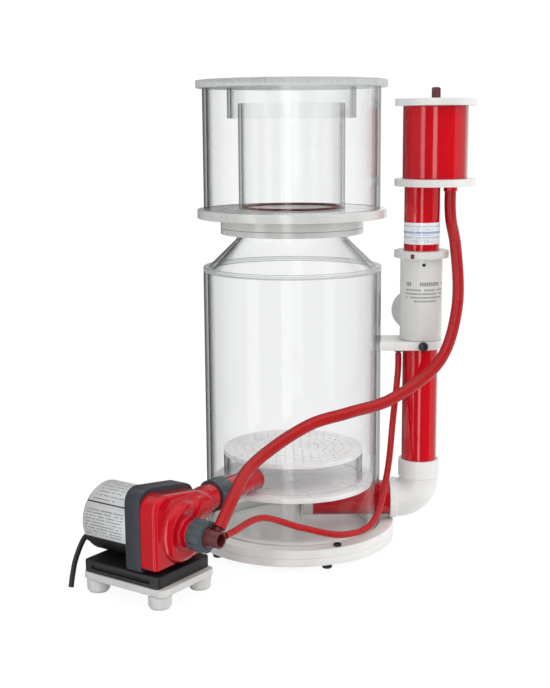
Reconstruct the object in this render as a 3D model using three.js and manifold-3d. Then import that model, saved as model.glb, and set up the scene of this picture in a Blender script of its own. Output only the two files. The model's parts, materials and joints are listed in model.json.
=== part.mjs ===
// Aquarium protein skimmer: a clear reaction tube on a white base, a foam cup on top,
// an outlet column with a level pipe and a silencer, and an external needle-wheel pump.
// Millimetres, +Z up. The origin is on the floor, under the middle of the whole object's box.
// +X points to the outlet column, and the pump stands on the -X, -Y side. The pieces are drawn
// about the axis of the reaction tube and moved together at the end.
import * as THREE from 'three';
import { mergeVertices } from 'three/addons/utils/BufferGeometryUtils.js';
import Module from 'manifold-3d';

const wasm = await Module();
wasm.setup();

// ---- Driving dimensions -------------------------------------------------------------

const TUBE_AXIS = [20, 67]; // the reaction tube's place from the origin
const FIT = 0.3; // gap between pieces that slide, turn or are glued into each other
const FINE = 32; // sides of the large round pieces
const MID = 24; // sides of the pipes
const COARSE = 12; // sides of the small round pieces

// Base
const BASE_R = 145;
const FOOT_H = 7;
const FOOT_R = 7;
const FOOT_COUNT = 5;
const FOOT_CIRCLE_R = 134;
const BASE_SCREW_R = 3;
const PLATE_TOP = 18;
const BASE_TOP = 30;

// Reaction tube and cone
const TUBE_R = 125;
const TUBE_WALL = 5;
const SOCKET_D = 6; // the tube stands in a groove whose floor is this far above the plate
const SHOULDER_Z = 394; // the cone's rim stands on the tube here
const RIM_T = 6;
const CONE_FOOT_R = 117;
const CONE_TOP_R = 78;
const CONE_TOP_Z = 446;
const CONE_WALL = 4;
const CONE_NECK_L = 8; // straight neck above the cone, under the flange

// Collar between the cone and the foam cup
const COLLAR_R = 100;
const COLLAR_BORE_R = 69;
const NECK_FLANGE_TOP = 454;
const CUP_FLOOR_Z = 468;

// Foam cup
const CUP_FLOOR_R = 132;
const CUP_FLOOR_T = 12;
const CUP_R = 123;
const CUP_WALL = 5;
const NECK_WALL = 4;
const LID_Z = 645;
const LID_T = 10;
const FOAM_NECK_R = 74;
const FOAM_NECK_TOP = 624;
const SKIRT_R = 89;
const SKIRT_BOTTOM = 604;

// Bubble plate
const DISC_Z = 86;
const DISC_T = 7;
const DISC_R = 115;
const POST_R = 12;
const CHAMBER_R = 100;
const CHAMBER_WALL = 4;
const CHAMBER_TOP = 131;
const SIEVE_T = 6;

// Outlet pipework
const PIPE_R = 25;
const PIPE_WALL = 3;
const SOCKET_R = 29.5;
const OUTLET_Z = 60;
const OUTLET_INNER_X = 28;
const COLLAR_L = 14;
const SOCKET_L = 18; // how far a pipe goes into a socket
const BEND_R = 30;
const ELBOW_X = 139;
const ELBOW_TOP = 119;
const COLUMN_X = 182;
const BRACKET_Z = 282;
const BRACKET_T = 12;
const BRACKET_EYE_R = 31;
const CLAMP_SCREW_R = 2.5;
const SLEEVE_TOP = 410.5;
const SLEEVE_FLANGE_T = 10;
const SLEEVE_FLANGE_R = 38.5;
const BRANCH_Z = 325;
const BRANCH_L = 75;
const BRANCH_TURN = THREE.MathUtils.degToRad(4);
const LOCK_Z = 402;
const LOCK_R = 2.2;

// Silencer
const SILENCER_X = 199;
const SILENCER_Z = 510;
const SILENCER_R = 45;
const SILENCER_PLATE_R = 56;
const SILENCER_PLATE_T = 10;
const SILENCER_LID_Z = 619;
const SILENCER_WALL = 3;
const AIR_SCREW_R = 3;
const AIR_KNOB_R = 6.2;
const AIR_KNOB_H = 15.5;
const NOZZLE_X = 221;
const NOZZLE_L = 22;
const NOZZLE_SHOULDER_R = 9.5;
const NOZZLE_BORE_R = 3;

// Hoses
const AIR_HOSE_R = 8;
const AIR_HOSE_BORE_R = 6;
const AIR_LINE_R = 4.5;
const AIR_LINE_BORE_R = 3.2;
const LINE_TOP = [150, -8]; // where the thin air line meets the underside of the bracket
const CABLE_R = 3.5;

// Pump, in its own frame: +X along the shaft towards the inlet, +Y towards the tube
const PUMP_TURN = THREE.MathUtils.degToRad(-35);
const PUMP_REACH = 273.5; // from the shaft to the axis of the reaction tube, along +Y
const DISCHARGE_X = 42;
const DISCHARGE_Z = 112;
const DISCHARGE_R = 16;
const SHAFT_Z = 89;
const PUMP_FOOT_H = 18;
const PUMP_PLATE_TOP = 27;
const CRADLE_TOP = 43;
const MOTOR_R = 45;
const MOTOR_WALL = 3;
const MOTOR_REAR_X = -75;
const SHAFT_R = 4;
const ROTOR_R = 17;
const BEARING_R = 9;
const PUMP_FLANGE_X = 9;
const PUMP_FLANGE_W = 108;
const PUMP_FLANGE_TOP = 150;
const VOLUTE_X = 34;
const VOLUTE_W = 106;
const VOLUTE_Z = 48;
const VOLUTE_TOP = 144;
const VOLUTE_FACE_X = 58;
const SCROLL_R = 40; // the round bulge on the volute's face
const BOSS_R = 18.5;
const BOSS_TIP_X = 77;
const HORN_TIP_Y = 79; // the discharge horn ends here
const PIN_COUNT = 10; // needles on the impeller
const INLET_R = 13;
const INLET_NUT_R = 21;
const DISCHARGE_NUT_R = 22;
const INLET_NUT_L = 22;
const INLET_TIP_X = 119;
const AIR_INLET = { x: 108.5, tilt: THREE.MathUtils.degToRad(43) };
const LINE_INLET = { x: 114.5, tilt: THREE.MathUtils.degToRad(88) };

const WHITE = { color: 0xe9e9e6, roughness: 0.45, metalness: 0 };
const CLEAR = { color: 0xe8f0f2, roughness: 0.05, metalness: 0, transparent: true, opacity: 0.3 };
const RED = { color: 0xc4001a, roughness: 0.2, metalness: 0 };
const DARK_RED = { color: 0x5c0a14, roughness: 0.35, metalness: 0 };
const BLACK = { color: 0x101114, roughness: 0.5, metalness: 0 };
const SLATE = { color: 0x2c3240, roughness: 0.45, metalness: 0 };
const GREEN_GREY = { color: 0x39454a, roughness: 0.45, metalness: 0 };
const SILVER = { color: 0xc9cdd0, roughness: 0.35, metalness: 0.7 };
const STEEL = { color: 0xb4b8bc, roughness: 0.25, metalness: 1 };
const COPPER = { color: 0x8a4b2a, roughness: 0.5, metalness: 0.6 };

// ---- Solids -------------------------------------------------------------------------

// One closed surface: shared vertices, no slivers, faces pointing out.
function closed(geometry) {
  const bare = geometry.clone();
  bare.deleteAttribute('normal');
  bare.deleteAttribute('uv');
  const merged = mergeVertices(bare, 1e-4);
  const corners = merged.index.array;
  const kept = [];
  for (let i = 0; i < corners.length; i += 3) {
    const [a, b, c] = corners.slice(i, i + 3);
    if (a !== b && b !== c && c !== a) kept.push(a, b, c);
  }
  merged.setIndex(volume(merged, kept) < 0 ? kept.reverse() : kept);
  return merged;
}

function volume(geometry, corners) {
  const at = geometry.attributes.position;
  const [p, q, r] = [new THREE.Vector3(), new THREE.Vector3(), new THREE.Vector3()];
  let total = 0;
  for (let i = 0; i < corners.length; i += 3) {
    p.fromBufferAttribute(at, corners[i]);
    q.fromBufferAttribute(at, corners[i + 1]);
    r.fromBufferAttribute(at, corners[i + 2]);
    total += p.dot(q.cross(r)) / 6;
  }
  return total;
}

function toManifold(geometry) {
  const whole = closed(geometry);
  const vertProperties = new Float32Array(whole.attributes.position.array);
  const triVerts = new Uint32Array(whole.index.array);
  return new wasm.Manifold(new wasm.Mesh({ numProp: 3, vertProperties, triVerts }));
}

function toGeometry(manifold) {
  const mesh = manifold.getMesh();
  const geometry = new THREE.BufferGeometry();
  geometry.setAttribute('position', new THREE.BufferAttribute(mesh.vertProperties, 3));
  geometry.setIndex(new THREE.BufferAttribute(mesh.triVerts, 1));
  return geometry;
}

function cut(body, ...tools) {
  return toGeometry(tools.reduce((left, tool) => left.subtract(toManifold(tool)), toManifold(body)));
}

function join(body, ...others) {
  return toGeometry(others.reduce((whole, other) => whole.add(toManifold(other)), toManifold(body)));
}

// A profile of [radius, height] points turned about +Z.
function turned(profile, sides) {
  const points = profile.map(([r, z]) => new THREE.Vector2(r, z));
  return new THREE.LatheGeometry(points, sides).rotateX(Math.PI / 2);
}

function disc(r, z0, z1, sides = FINE, edge = 0) {
  const outline = [[0, z0], [r - edge, z0], [r, z0 + edge], [r, z1 - edge], [r - edge, z1], [0, z1]];
  return turned(edge ? outline : outline.filter((_, i) => i !== 1 && i !== 4), sides);
}

function ring(rIn, rOut, z0, z1, sides = FINE) {
  return turned([[rIn, z0], [rOut, z0], [rOut, z1], [rIn, z1], [rIn, z0]], sides);
}

// The same, with the axis along +X or +Y and the heights measured along it.
const alongX = (geometry, y = 0, z = 0) => geometry.rotateY(Math.PI / 2).translate(0, y, z);
const alongY = (geometry, x = 0, z = 0) => geometry.rotateX(-Math.PI / 2).translate(x, 0, z);

// The corners of a regular polygon.
function polygon(x, y, r, sides) {
  return Array.from({ length: sides }, (_, i) => {
    const angle = (i * 2 * Math.PI) / sides;
    return new THREE.Vector2(x + r * Math.cos(angle), y + r * Math.sin(angle));
  });
}

function roundedRect(x0, x1, y0, y1, r) {
  const shape = new THREE.Shape();
  shape.moveTo(x0 + r, y0);
  shape.lineTo(x1 - r, y0);
  shape.absarc(x1 - r, y0 + r, r, -Math.PI / 2, 0);
  shape.lineTo(x1, y1 - r);
  shape.absarc(x1 - r, y1 - r, r, 0, Math.PI / 2);
  shape.lineTo(x0 + r, y1);
  shape.absarc(x0 + r, y1 - r, r, Math.PI / 2, Math.PI);
  shape.lineTo(x0, y0 + r);
  shape.absarc(x0 + r, y0 + r, r, Math.PI, Math.PI * 1.5);
  return shape;
}

function slab(shape, z0, z1, curveSegments = 6) {
  const geometry = new THREE.ExtrudeGeometry(shape, { depth: z1 - z0, bevelEnabled: false, curveSegments });
  return geometry.translate(0, 0, z0);
}

// A slab drawn in the Y, Z plane and given depth along +X.
function upright(shape, x0, x1, curveSegments = 6) {
  return slab(shape, x0, x1, curveSegments).rotateY(Math.PI / 2).rotateX(Math.PI / 2);
}

// A hose along a smooth route of [x, y, z] points. It is hollow when rIn is more than zero.
function hose(route, rOut, rIn, steps, sides = 8) {
  const section = new THREE.Shape(polygon(0, 0, rOut, sides));
  if (rIn > 0) section.holes.push(new THREE.Path(polygon(0, 0, rIn, sides)));
  const extrudePath = new THREE.CatmullRomCurve3(route.map((p) => new THREE.Vector3(...p)));
  return new THREE.ExtrudeGeometry(section, { steps, extrudePath });
}

const group = new THREE.Group();
const pump = new THREE.Group();
const toTube = new THREE.Vector3(0, 1, 0).applyAxisAngle(new THREE.Vector3(0, 0, 1), PUMP_TURN);
const alongShaft = new THREE.Vector3(1, 0, 0).applyAxisAngle(new THREE.Vector3(0, 0, 1), PUMP_TURN);
pump.position.addScaledVector(toTube, -PUMP_REACH).addScaledVector(alongShaft, -DISCHARGE_X);
pump.rotation.z = PUMP_TURN;
group.add(pump);

function add(parent, name, look, geometry) {
  const mesh = new THREE.Mesh(closed(geometry), new THREE.MeshStandardMaterial(look));
  mesh.name = name;
  parent.add(mesh);
  return mesh;
}

// A point of the pump's frame as a point of the whole object's frame.
function fromPump(x, y, z) {
  const place = pump.position.clone().addScaledVector(alongShaft, x).addScaledVector(toTube, y);
  return [place.x, place.y, z];
}

// ---- Base ---------------------------------------------------------------------------

function base() {
  add(group, 'base_plate', WHITE, disc(BASE_R, FOOT_H, PLATE_TOP, FINE, 1));
  const seat = ring(TUBE_R - TUBE_WALL - 12, BASE_R, PLATE_TOP, BASE_TOP);
  const socket = ring(TUBE_R - TUBE_WALL - FIT, TUBE_R + FIT, PLATE_TOP + SOCKET_D, BASE_TOP + 1);
  const screwAngle = THREE.MathUtils.degToRad(-65);
  const screwR = 137;
  const [screwX, screwY] = [screwR * Math.cos(screwAngle), screwR * Math.sin(screwAngle)];
  const screwHole = disc(BASE_SCREW_R + FIT, PLATE_TOP - 1, BASE_TOP + 1, COARSE);
  screwHole.translate(screwX, screwY, 0);
  add(group, 'tube_flange', WHITE, cut(seat, socket, screwHole));
  const shank = [[0, PLATE_TOP + 1], [BASE_SCREW_R, PLATE_TOP + 1], [BASE_SCREW_R, BASE_TOP + FIT]];
  const head = [[5.5, BASE_TOP + FIT], [5.5, BASE_TOP + 2.5], [4.5, BASE_TOP + 3.3], [0, BASE_TOP + 3.3]];
  const screw = add(group, 'base_screw', BLACK, turned([...shank, ...head], COARSE));
  screw.position.set(screwX, screwY, 0);
  const footProfile = [[0, 0], [FOOT_R - 1, 0], [FOOT_R, 1], [FOOT_R, FOOT_H], [0, FOOT_H]];
  for (let i = 0; i < FOOT_COUNT; i += 1) {
    const angle = THREE.MathUtils.degToRad(1 + (i * 360) / FOOT_COUNT);
    const foot = add(group, `base_foot_${i + 1}`, BLACK, turned(footProfile, COARSE));
    foot.position.set(FOOT_CIRCLE_R * Math.cos(angle), FOOT_CIRCLE_R * Math.sin(angle), 0);
  }
}

// ---- Reaction tube, cone and collar -------------------------------------------------

// The discharge line as a solid rod of the given radius, in the whole object's frame.
function dischargeRod(r, y0, y1) {
  const rod = alongY(disc(r, y0, y1, MID), DISCHARGE_X, DISCHARGE_Z);
  pump.updateMatrixWorld();
  return rod.applyMatrix4(pump.matrixWorld);
}

function reactionTube() {
  const wall = ring(TUBE_R - TUBE_WALL, TUBE_R, PLATE_TOP + SOCKET_D + FIT, SHOULDER_Z);
  const outletHole = alongX(disc(PIPE_R + FIT, 90, 140, MID), 0, OUTLET_Z);
  const inletHole = dischargeRod(DISCHARGE_R + FIT, PUMP_REACH - 135, PUMP_REACH - 105);
  add(group, 'reaction_tube', CLEAR, cut(wall, outletHole, inletHole));

  const rim = SHOULDER_Z + RIM_T;
  const neckZ = CONE_TOP_Z - CONE_NECK_L;
  const shoulder = [[TUBE_R, SHOULDER_Z], [TUBE_R, rim], [CONE_FOOT_R, rim]];
  const outside = [...shoulder, [CONE_TOP_R, neckZ], [CONE_TOP_R, CONE_TOP_Z]];
  const [footR, topR] = [CONE_FOOT_R - CONE_WALL, CONE_TOP_R - CONE_WALL];
  const inside = [[topR, CONE_TOP_Z], [topR, neckZ], [footR, SHOULDER_Z], [TUBE_R, SHOULDER_Z]];
  add(group, 'neck_cone', CLEAR, turned([...outside, ...inside], FINE));
  add(group, 'neck_flange', WHITE, ring(COLLAR_BORE_R, COLLAR_R, CONE_TOP_Z, NECK_FLANGE_TOP));
}

// ---- Foam cup -----------------------------------------------------------------------

function bayonetRing() {
  const [z0, z1] = [NECK_FLANGE_TOP + FIT, CUP_FLOOR_Z - FIT];
  const band = ring(COLLAR_BORE_R + 6, COLLAR_R, z0, z1);
  const notches = [];
  const notchCount = 2; // thumb notches, at the two sides
  for (let i = 0; i < notchCount; i += 1) {
    const notch = disc(6, z0 + 3, z1 + 1, COARSE).translate(COLLAR_R + 3, 0, 0);
    notches.push(notch.rotateZ((i * 2 * Math.PI) / notchCount));
  }
  add(group, 'bayonet_ring', WHITE, cut(band, ...notches));
}

function cup() {
  const floorTop = CUP_FLOOR_Z + CUP_FLOOR_T;
  const floor = ring(COLLAR_BORE_R, CUP_FLOOR_R, CUP_FLOOR_Z, floorTop);
  add(group, 'cup_floor', WHITE, floor);
  add(group, 'foam_neck', CLEAR, ring(FOAM_NECK_R - NECK_WALL, FOAM_NECK_R, floorTop, FOAM_NECK_TOP));
  add(group, 'cup_tube', CLEAR, ring(CUP_R - CUP_WALL, CUP_R, floorTop, LID_Z));
  const cordR = 2;
  const cordCentreR = FOAM_NECK_R - NECK_WALL - FIT - cordR;
  const cord = [];
  for (let i = 0; i <= 6; i += 1) {
    const angle = (i * Math.PI) / 3;
    cord.push([cordCentreR + cordR * Math.cos(angle), floorTop + cordR * (1 + Math.sin(angle))]);
  }
  add(group, 'neck_o_ring', DARK_RED, turned(cord, FINE));
  add(group, 'cup_lid', CLEAR, disc(CUP_FLOOR_R, LID_Z, LID_Z + LID_T, FINE, 1));
  add(group, 'lid_skirt', CLEAR, ring(SKIRT_R - NECK_WALL, SKIRT_R, SKIRT_BOTTOM, LID_Z));
}

// ---- Bubble plate inside the tube ---------------------------------------------------

function bubblePlate() {
  add(group, 'support_post', WHITE, disc(POST_R, PLATE_TOP, DISC_Z, COARSE));
  add(group, 'bubble_disc', WHITE, disc(DISC_R, DISC_Z, DISC_Z + DISC_T, FINE, 1));
  const chamber = ring(CHAMBER_R - CHAMBER_WALL, CHAMBER_R, DISC_Z + DISC_T, CHAMBER_TOP);
  const inlet = dischargeRod(DISCHARGE_R + FIT, PUMP_REACH - 110, PUMP_REACH - 80);
  add(group, 'bubble_chamber', CLEAR, cut(chamber, inlet));

  const sieve = new THREE.Shape(polygon(0, 0, CHAMBER_R, FINE));
  const holeR = 3;
  const rows = 3;
  const lastRowR = CHAMBER_R - 14;
  for (let row = 1; row <= rows; row += 1) {
    const count = row * 6;
    for (let i = 0; i < count; i += 1) {
      const angle = ((i + row / 2) * 2 * Math.PI) / count;
      const r = (row * lastRowR) / rows;
      sieve.holes.push(new THREE.Path(polygon(r * Math.cos(angle), r * Math.sin(angle), holeR, 6)));
    }
  }
  add(group, 'bubble_sieve', WHITE, slab(sieve, CHAMBER_TOP, CHAMBER_TOP + SIEVE_T));
}

// ---- Outlet column ------------------------------------------------------------------

// A bent rod: a straight run along X, a quarter bend and a straight run along Z.
function bentRod(r, xEnd, zEnd) {
  const [bendX, bendZ] = [COLUMN_X - BEND_R, OUTLET_Z + BEND_R];
  const doughnut = new THREE.TorusGeometry(BEND_R, r, MID, MID).rotateX(Math.PI / 2);
  const reach = 2 * BEND_R + r;
  const quarter = new THREE.BoxGeometry(reach, reach, reach).translate(reach / 2, 0, -reach / 2);
  const bend = toGeometry(toManifold(doughnut).intersect(toManifold(quarter))).translate(bendX, 0, bendZ);
  const lead = 0.5; // how far the straight runs reach into the bend
  const level = alongX(disc(r, xEnd, bendX + lead, MID), 0, OUTLET_Z);
  const rise = disc(r, bendZ - lead, zEnd, MID).translate(COLUMN_X, 0, 0);
  return join(bend, level, rise);
}

function outletPipes() {
  const pipeEnd = ELBOW_X + SOCKET_L;
  const outlet = ring(PIPE_R - PIPE_WALL, PIPE_R, OUTLET_INNER_X, pipeEnd, MID);
  add(group, 'outlet_pipe', RED, alongX(outlet, 0, OUTLET_Z));
  const collar = ring(PIPE_R - 7, PIPE_R, OUTLET_INNER_X - COLLAR_L, OUTLET_INNER_X, MID);
  add(group, 'outlet_collar', WHITE, alongX(collar, 0, OUTLET_Z));

  const bore = bentRod(PIPE_R - PIPE_WALL, ELBOW_X - 1, ELBOW_TOP + 1);
  const levelSocket = alongX(disc(PIPE_R + FIT, ELBOW_X - 1, pipeEnd + FIT, MID), 0, OUTLET_Z);
  const riserFoot = ELBOW_TOP - SOCKET_L;
  const riseSocket = disc(PIPE_R + FIT, riserFoot - FIT, ELBOW_TOP + 1, MID).translate(COLUMN_X, 0, 0);
  const shell = bentRod(SOCKET_R, ELBOW_X, ELBOW_TOP);
  add(group, 'outlet_elbow', WHITE, cut(shell, bore, levelSocket, riseSocket));

  const riser = ring(PIPE_R - PIPE_WALL, PIPE_R, riserFoot, BRACKET_Z + 16, MID);
  add(group, 'riser_pipe', RED, riser).position.x = COLUMN_X;
}

function bracket() {
  const halfWidth = 30;
  const plate = new THREE.Shape();
  const seatR = TUBE_R + FIT;
  const seatAngle = Math.asin(halfWidth / seatR);
  plate.absarc(0, 0, seatR, seatAngle, -seatAngle, true);
  const eyeAngle = Math.asin(halfWidth / BRACKET_EYE_R);
  plate.absarc(COLUMN_X, 0, BRACKET_EYE_R, -Math.PI + eyeAngle, Math.PI - eyeAngle);
  const body = slab(plate, BRACKET_Z, BRACKET_Z + BRACKET_T, 12);
  const eye = disc(PIPE_R + FIT, BRACKET_Z - 1, BRACKET_Z + BRACKET_T + 1, MID).translate(COLUMN_X, 0, 0);
  const screwZ = BRACKET_Z + BRACKET_T / 2;
  const screwHole = alongY(disc(CLAMP_SCREW_R + FIT, -40, -PIPE_R - 3, COARSE), COLUMN_X, screwZ);
  add(group, 'pipe_bracket', WHITE, cut(body, eye, screwHole));

  const tipR = PIPE_R + 3.6;
  const tip = [[0, tipR], [CLAMP_SCREW_R, tipR], [CLAMP_SCREW_R, BRACKET_EYE_R + FIT]];
  const [knobR, knobEnd] = [7, BRACKET_EYE_R + 8.5];
  const knob = [[knobR, BRACKET_EYE_R + FIT], [knobR, knobEnd - 1.5], [knobR - 1.5, knobEnd], [0, knobEnd]];
  const screw = turned([...tip, ...knob], COARSE).rotateX(Math.PI / 2);
  const clampScrew = add(group, 'clamp_screw', BLACK, screw);
  clampScrew.position.set(COLUMN_X, 0, screwZ);
}

function levelPipe() {
  const sleeveZ = BRACKET_Z + BRACKET_T + FIT;
  const sleeve = disc(SOCKET_R, sleeveZ, SLEEVE_TOP, MID);
  const flange = disc(SLEEVE_FLANGE_R, SLEEVE_TOP - 0.1, SLEEVE_TOP + SLEEVE_FLANGE_T, MID, 1);
  const branch = alongY(disc(SOCKET_R, 0, BRANCH_L, MID), 0, BRANCH_Z).rotateZ(BRANCH_TURN);
  const branchBore = alongY(disc(PIPE_R, 0, BRANCH_L + 1, MID), 0, BRANCH_Z).rotateZ(BRANCH_TURN);
  const bore = disc(PIPE_R + FIT, sleeveZ - 1, SLEEVE_TOP + SLEEVE_FLANGE_T + 1, MID);
  const lockHole = alongY(disc(LOCK_R + FIT, -40, -20, COARSE), 0, LOCK_Z);
  const body = cut(join(sleeve, flange, branch), branchBore, bore, lockHole);
  add(group, 'level_body', WHITE, body).position.x = COLUMN_X;

  const lock = alongY(disc(LOCK_R, -SOCKET_R + 0.6, -PIPE_R - 0.6, COARSE), 0, LOCK_Z);
  add(group, 'level_lock_screw', BLACK, lock).position.x = COLUMN_X;

  // The foot of the level pipe is cut on a slant, so that turning it opens the branch.
  const footZ = BRACKET_Z + 17;
  const pipe = ring(PIPE_R - PIPE_WALL, PIPE_R, footZ, SILENCER_Z + SILENCER_PLATE_T - 1, MID);
  const wedge = new THREE.Shape();
  wedge.moveTo(-40, footZ - 5);
  wedge.lineTo(40, footZ - 5);
  wedge.lineTo(PIPE_R, BRANCH_Z + SOCKET_R);
  wedge.lineTo(-PIPE_R, footZ + 1);
  wedge.lineTo(-40, footZ);
  const blade = upright(wedge, -40, 40);
  add(group, 'level_pipe', RED, cut(pipe, blade)).position.x = COLUMN_X;

  const label = new THREE.Shape();
  const [from, to] = [THREE.MathUtils.degToRad(-175), THREE.MathUtils.degToRad(-15)];
  label.absarc(0, 0, PIPE_R + 0.6, from, to);
  label.absarc(0, 0, PIPE_R + 0.15, to, from, true);
  add(group, 'level_label', WHITE, slab(label, 430, 460, 16)).position.x = COLUMN_X;
}

function silencer() {
  const plateTop = SILENCER_Z + SILENCER_PLATE_T;
  const plate = disc(SILENCER_PLATE_R, SILENCER_Z, plateTop, MID, 1);
  const pipeHole = disc(PIPE_R + FIT, SILENCER_Z - 1, plateTop + 1, MID);
  pipeHole.translate(COLUMN_X - SILENCER_X, 0, 0);
  const airHole = disc(5.5, SILENCER_Z - 1, plateTop + 1, COARSE).translate(NOZZLE_X - SILENCER_X + 3, 0, 0);
  add(group, 'silencer_base', WHITE, cut(plate, pipeHole, airHole)).position.x = SILENCER_X;
  const shell = ring(SILENCER_R - SILENCER_WALL, SILENCER_R, plateTop, SILENCER_LID_Z, MID);
  add(group, 'silencer_tube', RED, shell).position.x = SILENCER_X;

  const lidTop = SILENCER_LID_Z + SILENCER_PLATE_T;
  const lid = disc(SILENCER_PLATE_R, SILENCER_LID_Z + FIT, lidTop, MID, 1);
  const spigot = disc(SILENCER_R - SILENCER_WALL - FIT, SILENCER_LID_Z - 6, SILENCER_LID_Z + 1, MID);
  const screwHole = disc(AIR_SCREW_R + FIT, SILENCER_LID_Z - 10, lidTop + 1, COARSE);
  add(group, 'silencer_lid', WHITE, cut(join(lid, spigot), screwHole)).position.x = SILENCER_X;

  const knobTop = lidTop + AIR_KNOB_H;
  const stemZ = SILENCER_LID_Z - 9;
  const stem = [[0, stemZ], [AIR_SCREW_R, stemZ + 2], [AIR_SCREW_R, lidTop + FIT]];
  const knobSide = [[AIR_KNOB_R, lidTop + FIT], [AIR_KNOB_R, knobTop - 1.5]];
  const knob = [...knobSide, [AIR_KNOB_R - 1, knobTop], [0, knobTop]];
  add(group, 'air_screw', DARK_RED, turned([...stem, ...knob], COARSE)).position.x = SILENCER_X;

  const [tipZ, shoulderZ] = [SILENCER_Z - NOZZLE_L, SILENCER_Z - 8];
  const spout = [[NOZZLE_BORE_R, tipZ], [5, tipZ], [5, shoulderZ], [NOZZLE_SHOULDER_R, shoulderZ]];
  const topZ = SILENCER_Z - FIT;
  const seat = [[NOZZLE_SHOULDER_R, topZ], [NOZZLE_BORE_R, topZ], [NOZZLE_BORE_R, tipZ]];
  add(group, 'silencer_nozzle', RED, turned([...spout, ...seat], COARSE)).position.x = NOZZLE_X;
}

// ---- Pump ---------------------------------------------------------------------------

function pumpStand() {
  const [footX, footY] = [52, 40];
  const profile = [[0, 0], [12.5, 0], [15, 3], [15, PUMP_FOOT_H - FIT], [0, PUMP_FOOT_H - FIT]];
  [[1, 1], [1, -1], [-1, -1], [-1, 1]].forEach(([x, y], i) => {
    const foot = add(pump, `pump_foot_${i + 1}`, WHITE, turned(profile, COARSE));
    foot.position.set(x * footX, y * footY, 0);
  });
  add(pump, 'pump_plate', WHITE, slab(roundedRect(-68, 68, -54, 54, 10), PUMP_FOOT_H, PUMP_PLATE_TOP));
  const cradle = slab(roundedRect(-66, 60, -52, 52, 6), PUMP_PLATE_TOP + FIT, CRADLE_TOP);
  const saddle = alongX(disc(MOTOR_R + FIT, -80, 80, MID), 0, SHAFT_Z);
  add(pump, 'pump_cradle', BLACK, cut(cradle, saddle));
}

// The outline of the pump's head, in the Y, Z plane. It drops towards the discharge side.
function headShape(width, z0, top) {
  const half = width / 2;
  const cornerR = 8;
  const shape = new THREE.Shape();
  shape.moveTo(cornerR - half, z0);
  shape.lineTo(half - cornerR, z0);
  shape.quadraticCurveTo(half, z0, half, z0 + cornerR);
  shape.lineTo(half, top - 34);
  shape.quadraticCurveTo(half, top - 12, half - 24, top - 9);
  shape.lineTo(22 - half, top);
  shape.quadraticCurveTo(-half, top, -half, top - 22);
  shape.lineTo(-half, z0 + cornerR);
  shape.quadraticCurveTo(-half, z0, cornerR - half, z0);
  return shape;
}

function motor() {
  const front = PUMP_FLANGE_X - FIT;
  const rear = MOTOR_REAR_X;
  const wall = MOTOR_WALL;
  const outside = [[0, rear], [MOTOR_R - 3, rear], [MOTOR_R, rear + 3], [MOTOR_R, front]];
  const inside = [[MOTOR_R - wall, front], [MOTOR_R - wall, rear + wall], [0, rear + wall]];
  const can = turned([...outside, ...inside], MID);
  add(pump, 'motor_can', BLACK, alongX(can, 0, SHAFT_Z));

  const label = new THREE.Shape();
  const [from, to] = [THREE.MathUtils.degToRad(-20), THREE.MathUtils.degToRad(200)];
  label.absarc(0, SHAFT_Z, MOTOR_R + 1, from, to);
  label.absarc(0, SHAFT_Z, MOTOR_R + 0.5, to, from, true);
  add(pump, 'motor_label', SILVER, upright(label, rear + 5, front - 6, 16));

  add(pump, 'stator', COPPER, alongX(ring(ROTOR_R + 2, MOTOR_R - wall - FIT, -60, 0, MID), 0, SHAFT_Z));
  add(pump, 'rotor_magnet', SLATE, alongX(ring(SHAFT_R + FIT, ROTOR_R, -58, -4, COARSE), 0, SHAFT_Z));
  add(pump, 'rotor_shaft', STEEL, alongX(disc(SHAFT_R, -66, 46, COARSE), 0, SHAFT_Z));
  const bearing = ring(SHAFT_R + FIT, BEARING_R, PUMP_FLANGE_X + 4, PUMP_FLANGE_X + 12, COARSE);
  add(pump, 'shaft_bearing', STEEL, alongX(bearing, 0, SHAFT_Z));

  const outline = headShape(PUMP_FLANGE_W, CRADLE_TOP + FIT, PUMP_FLANGE_TOP);
  const flange = upright(outline, PUMP_FLANGE_X, VOLUTE_X - FIT);
  const shaftHole = alongX(disc(BEARING_R + FIT, 0, 60, COARSE), 0, SHAFT_Z);
  add(pump, 'pump_flange', SLATE, cut(flange, shaftHole));
}

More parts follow.
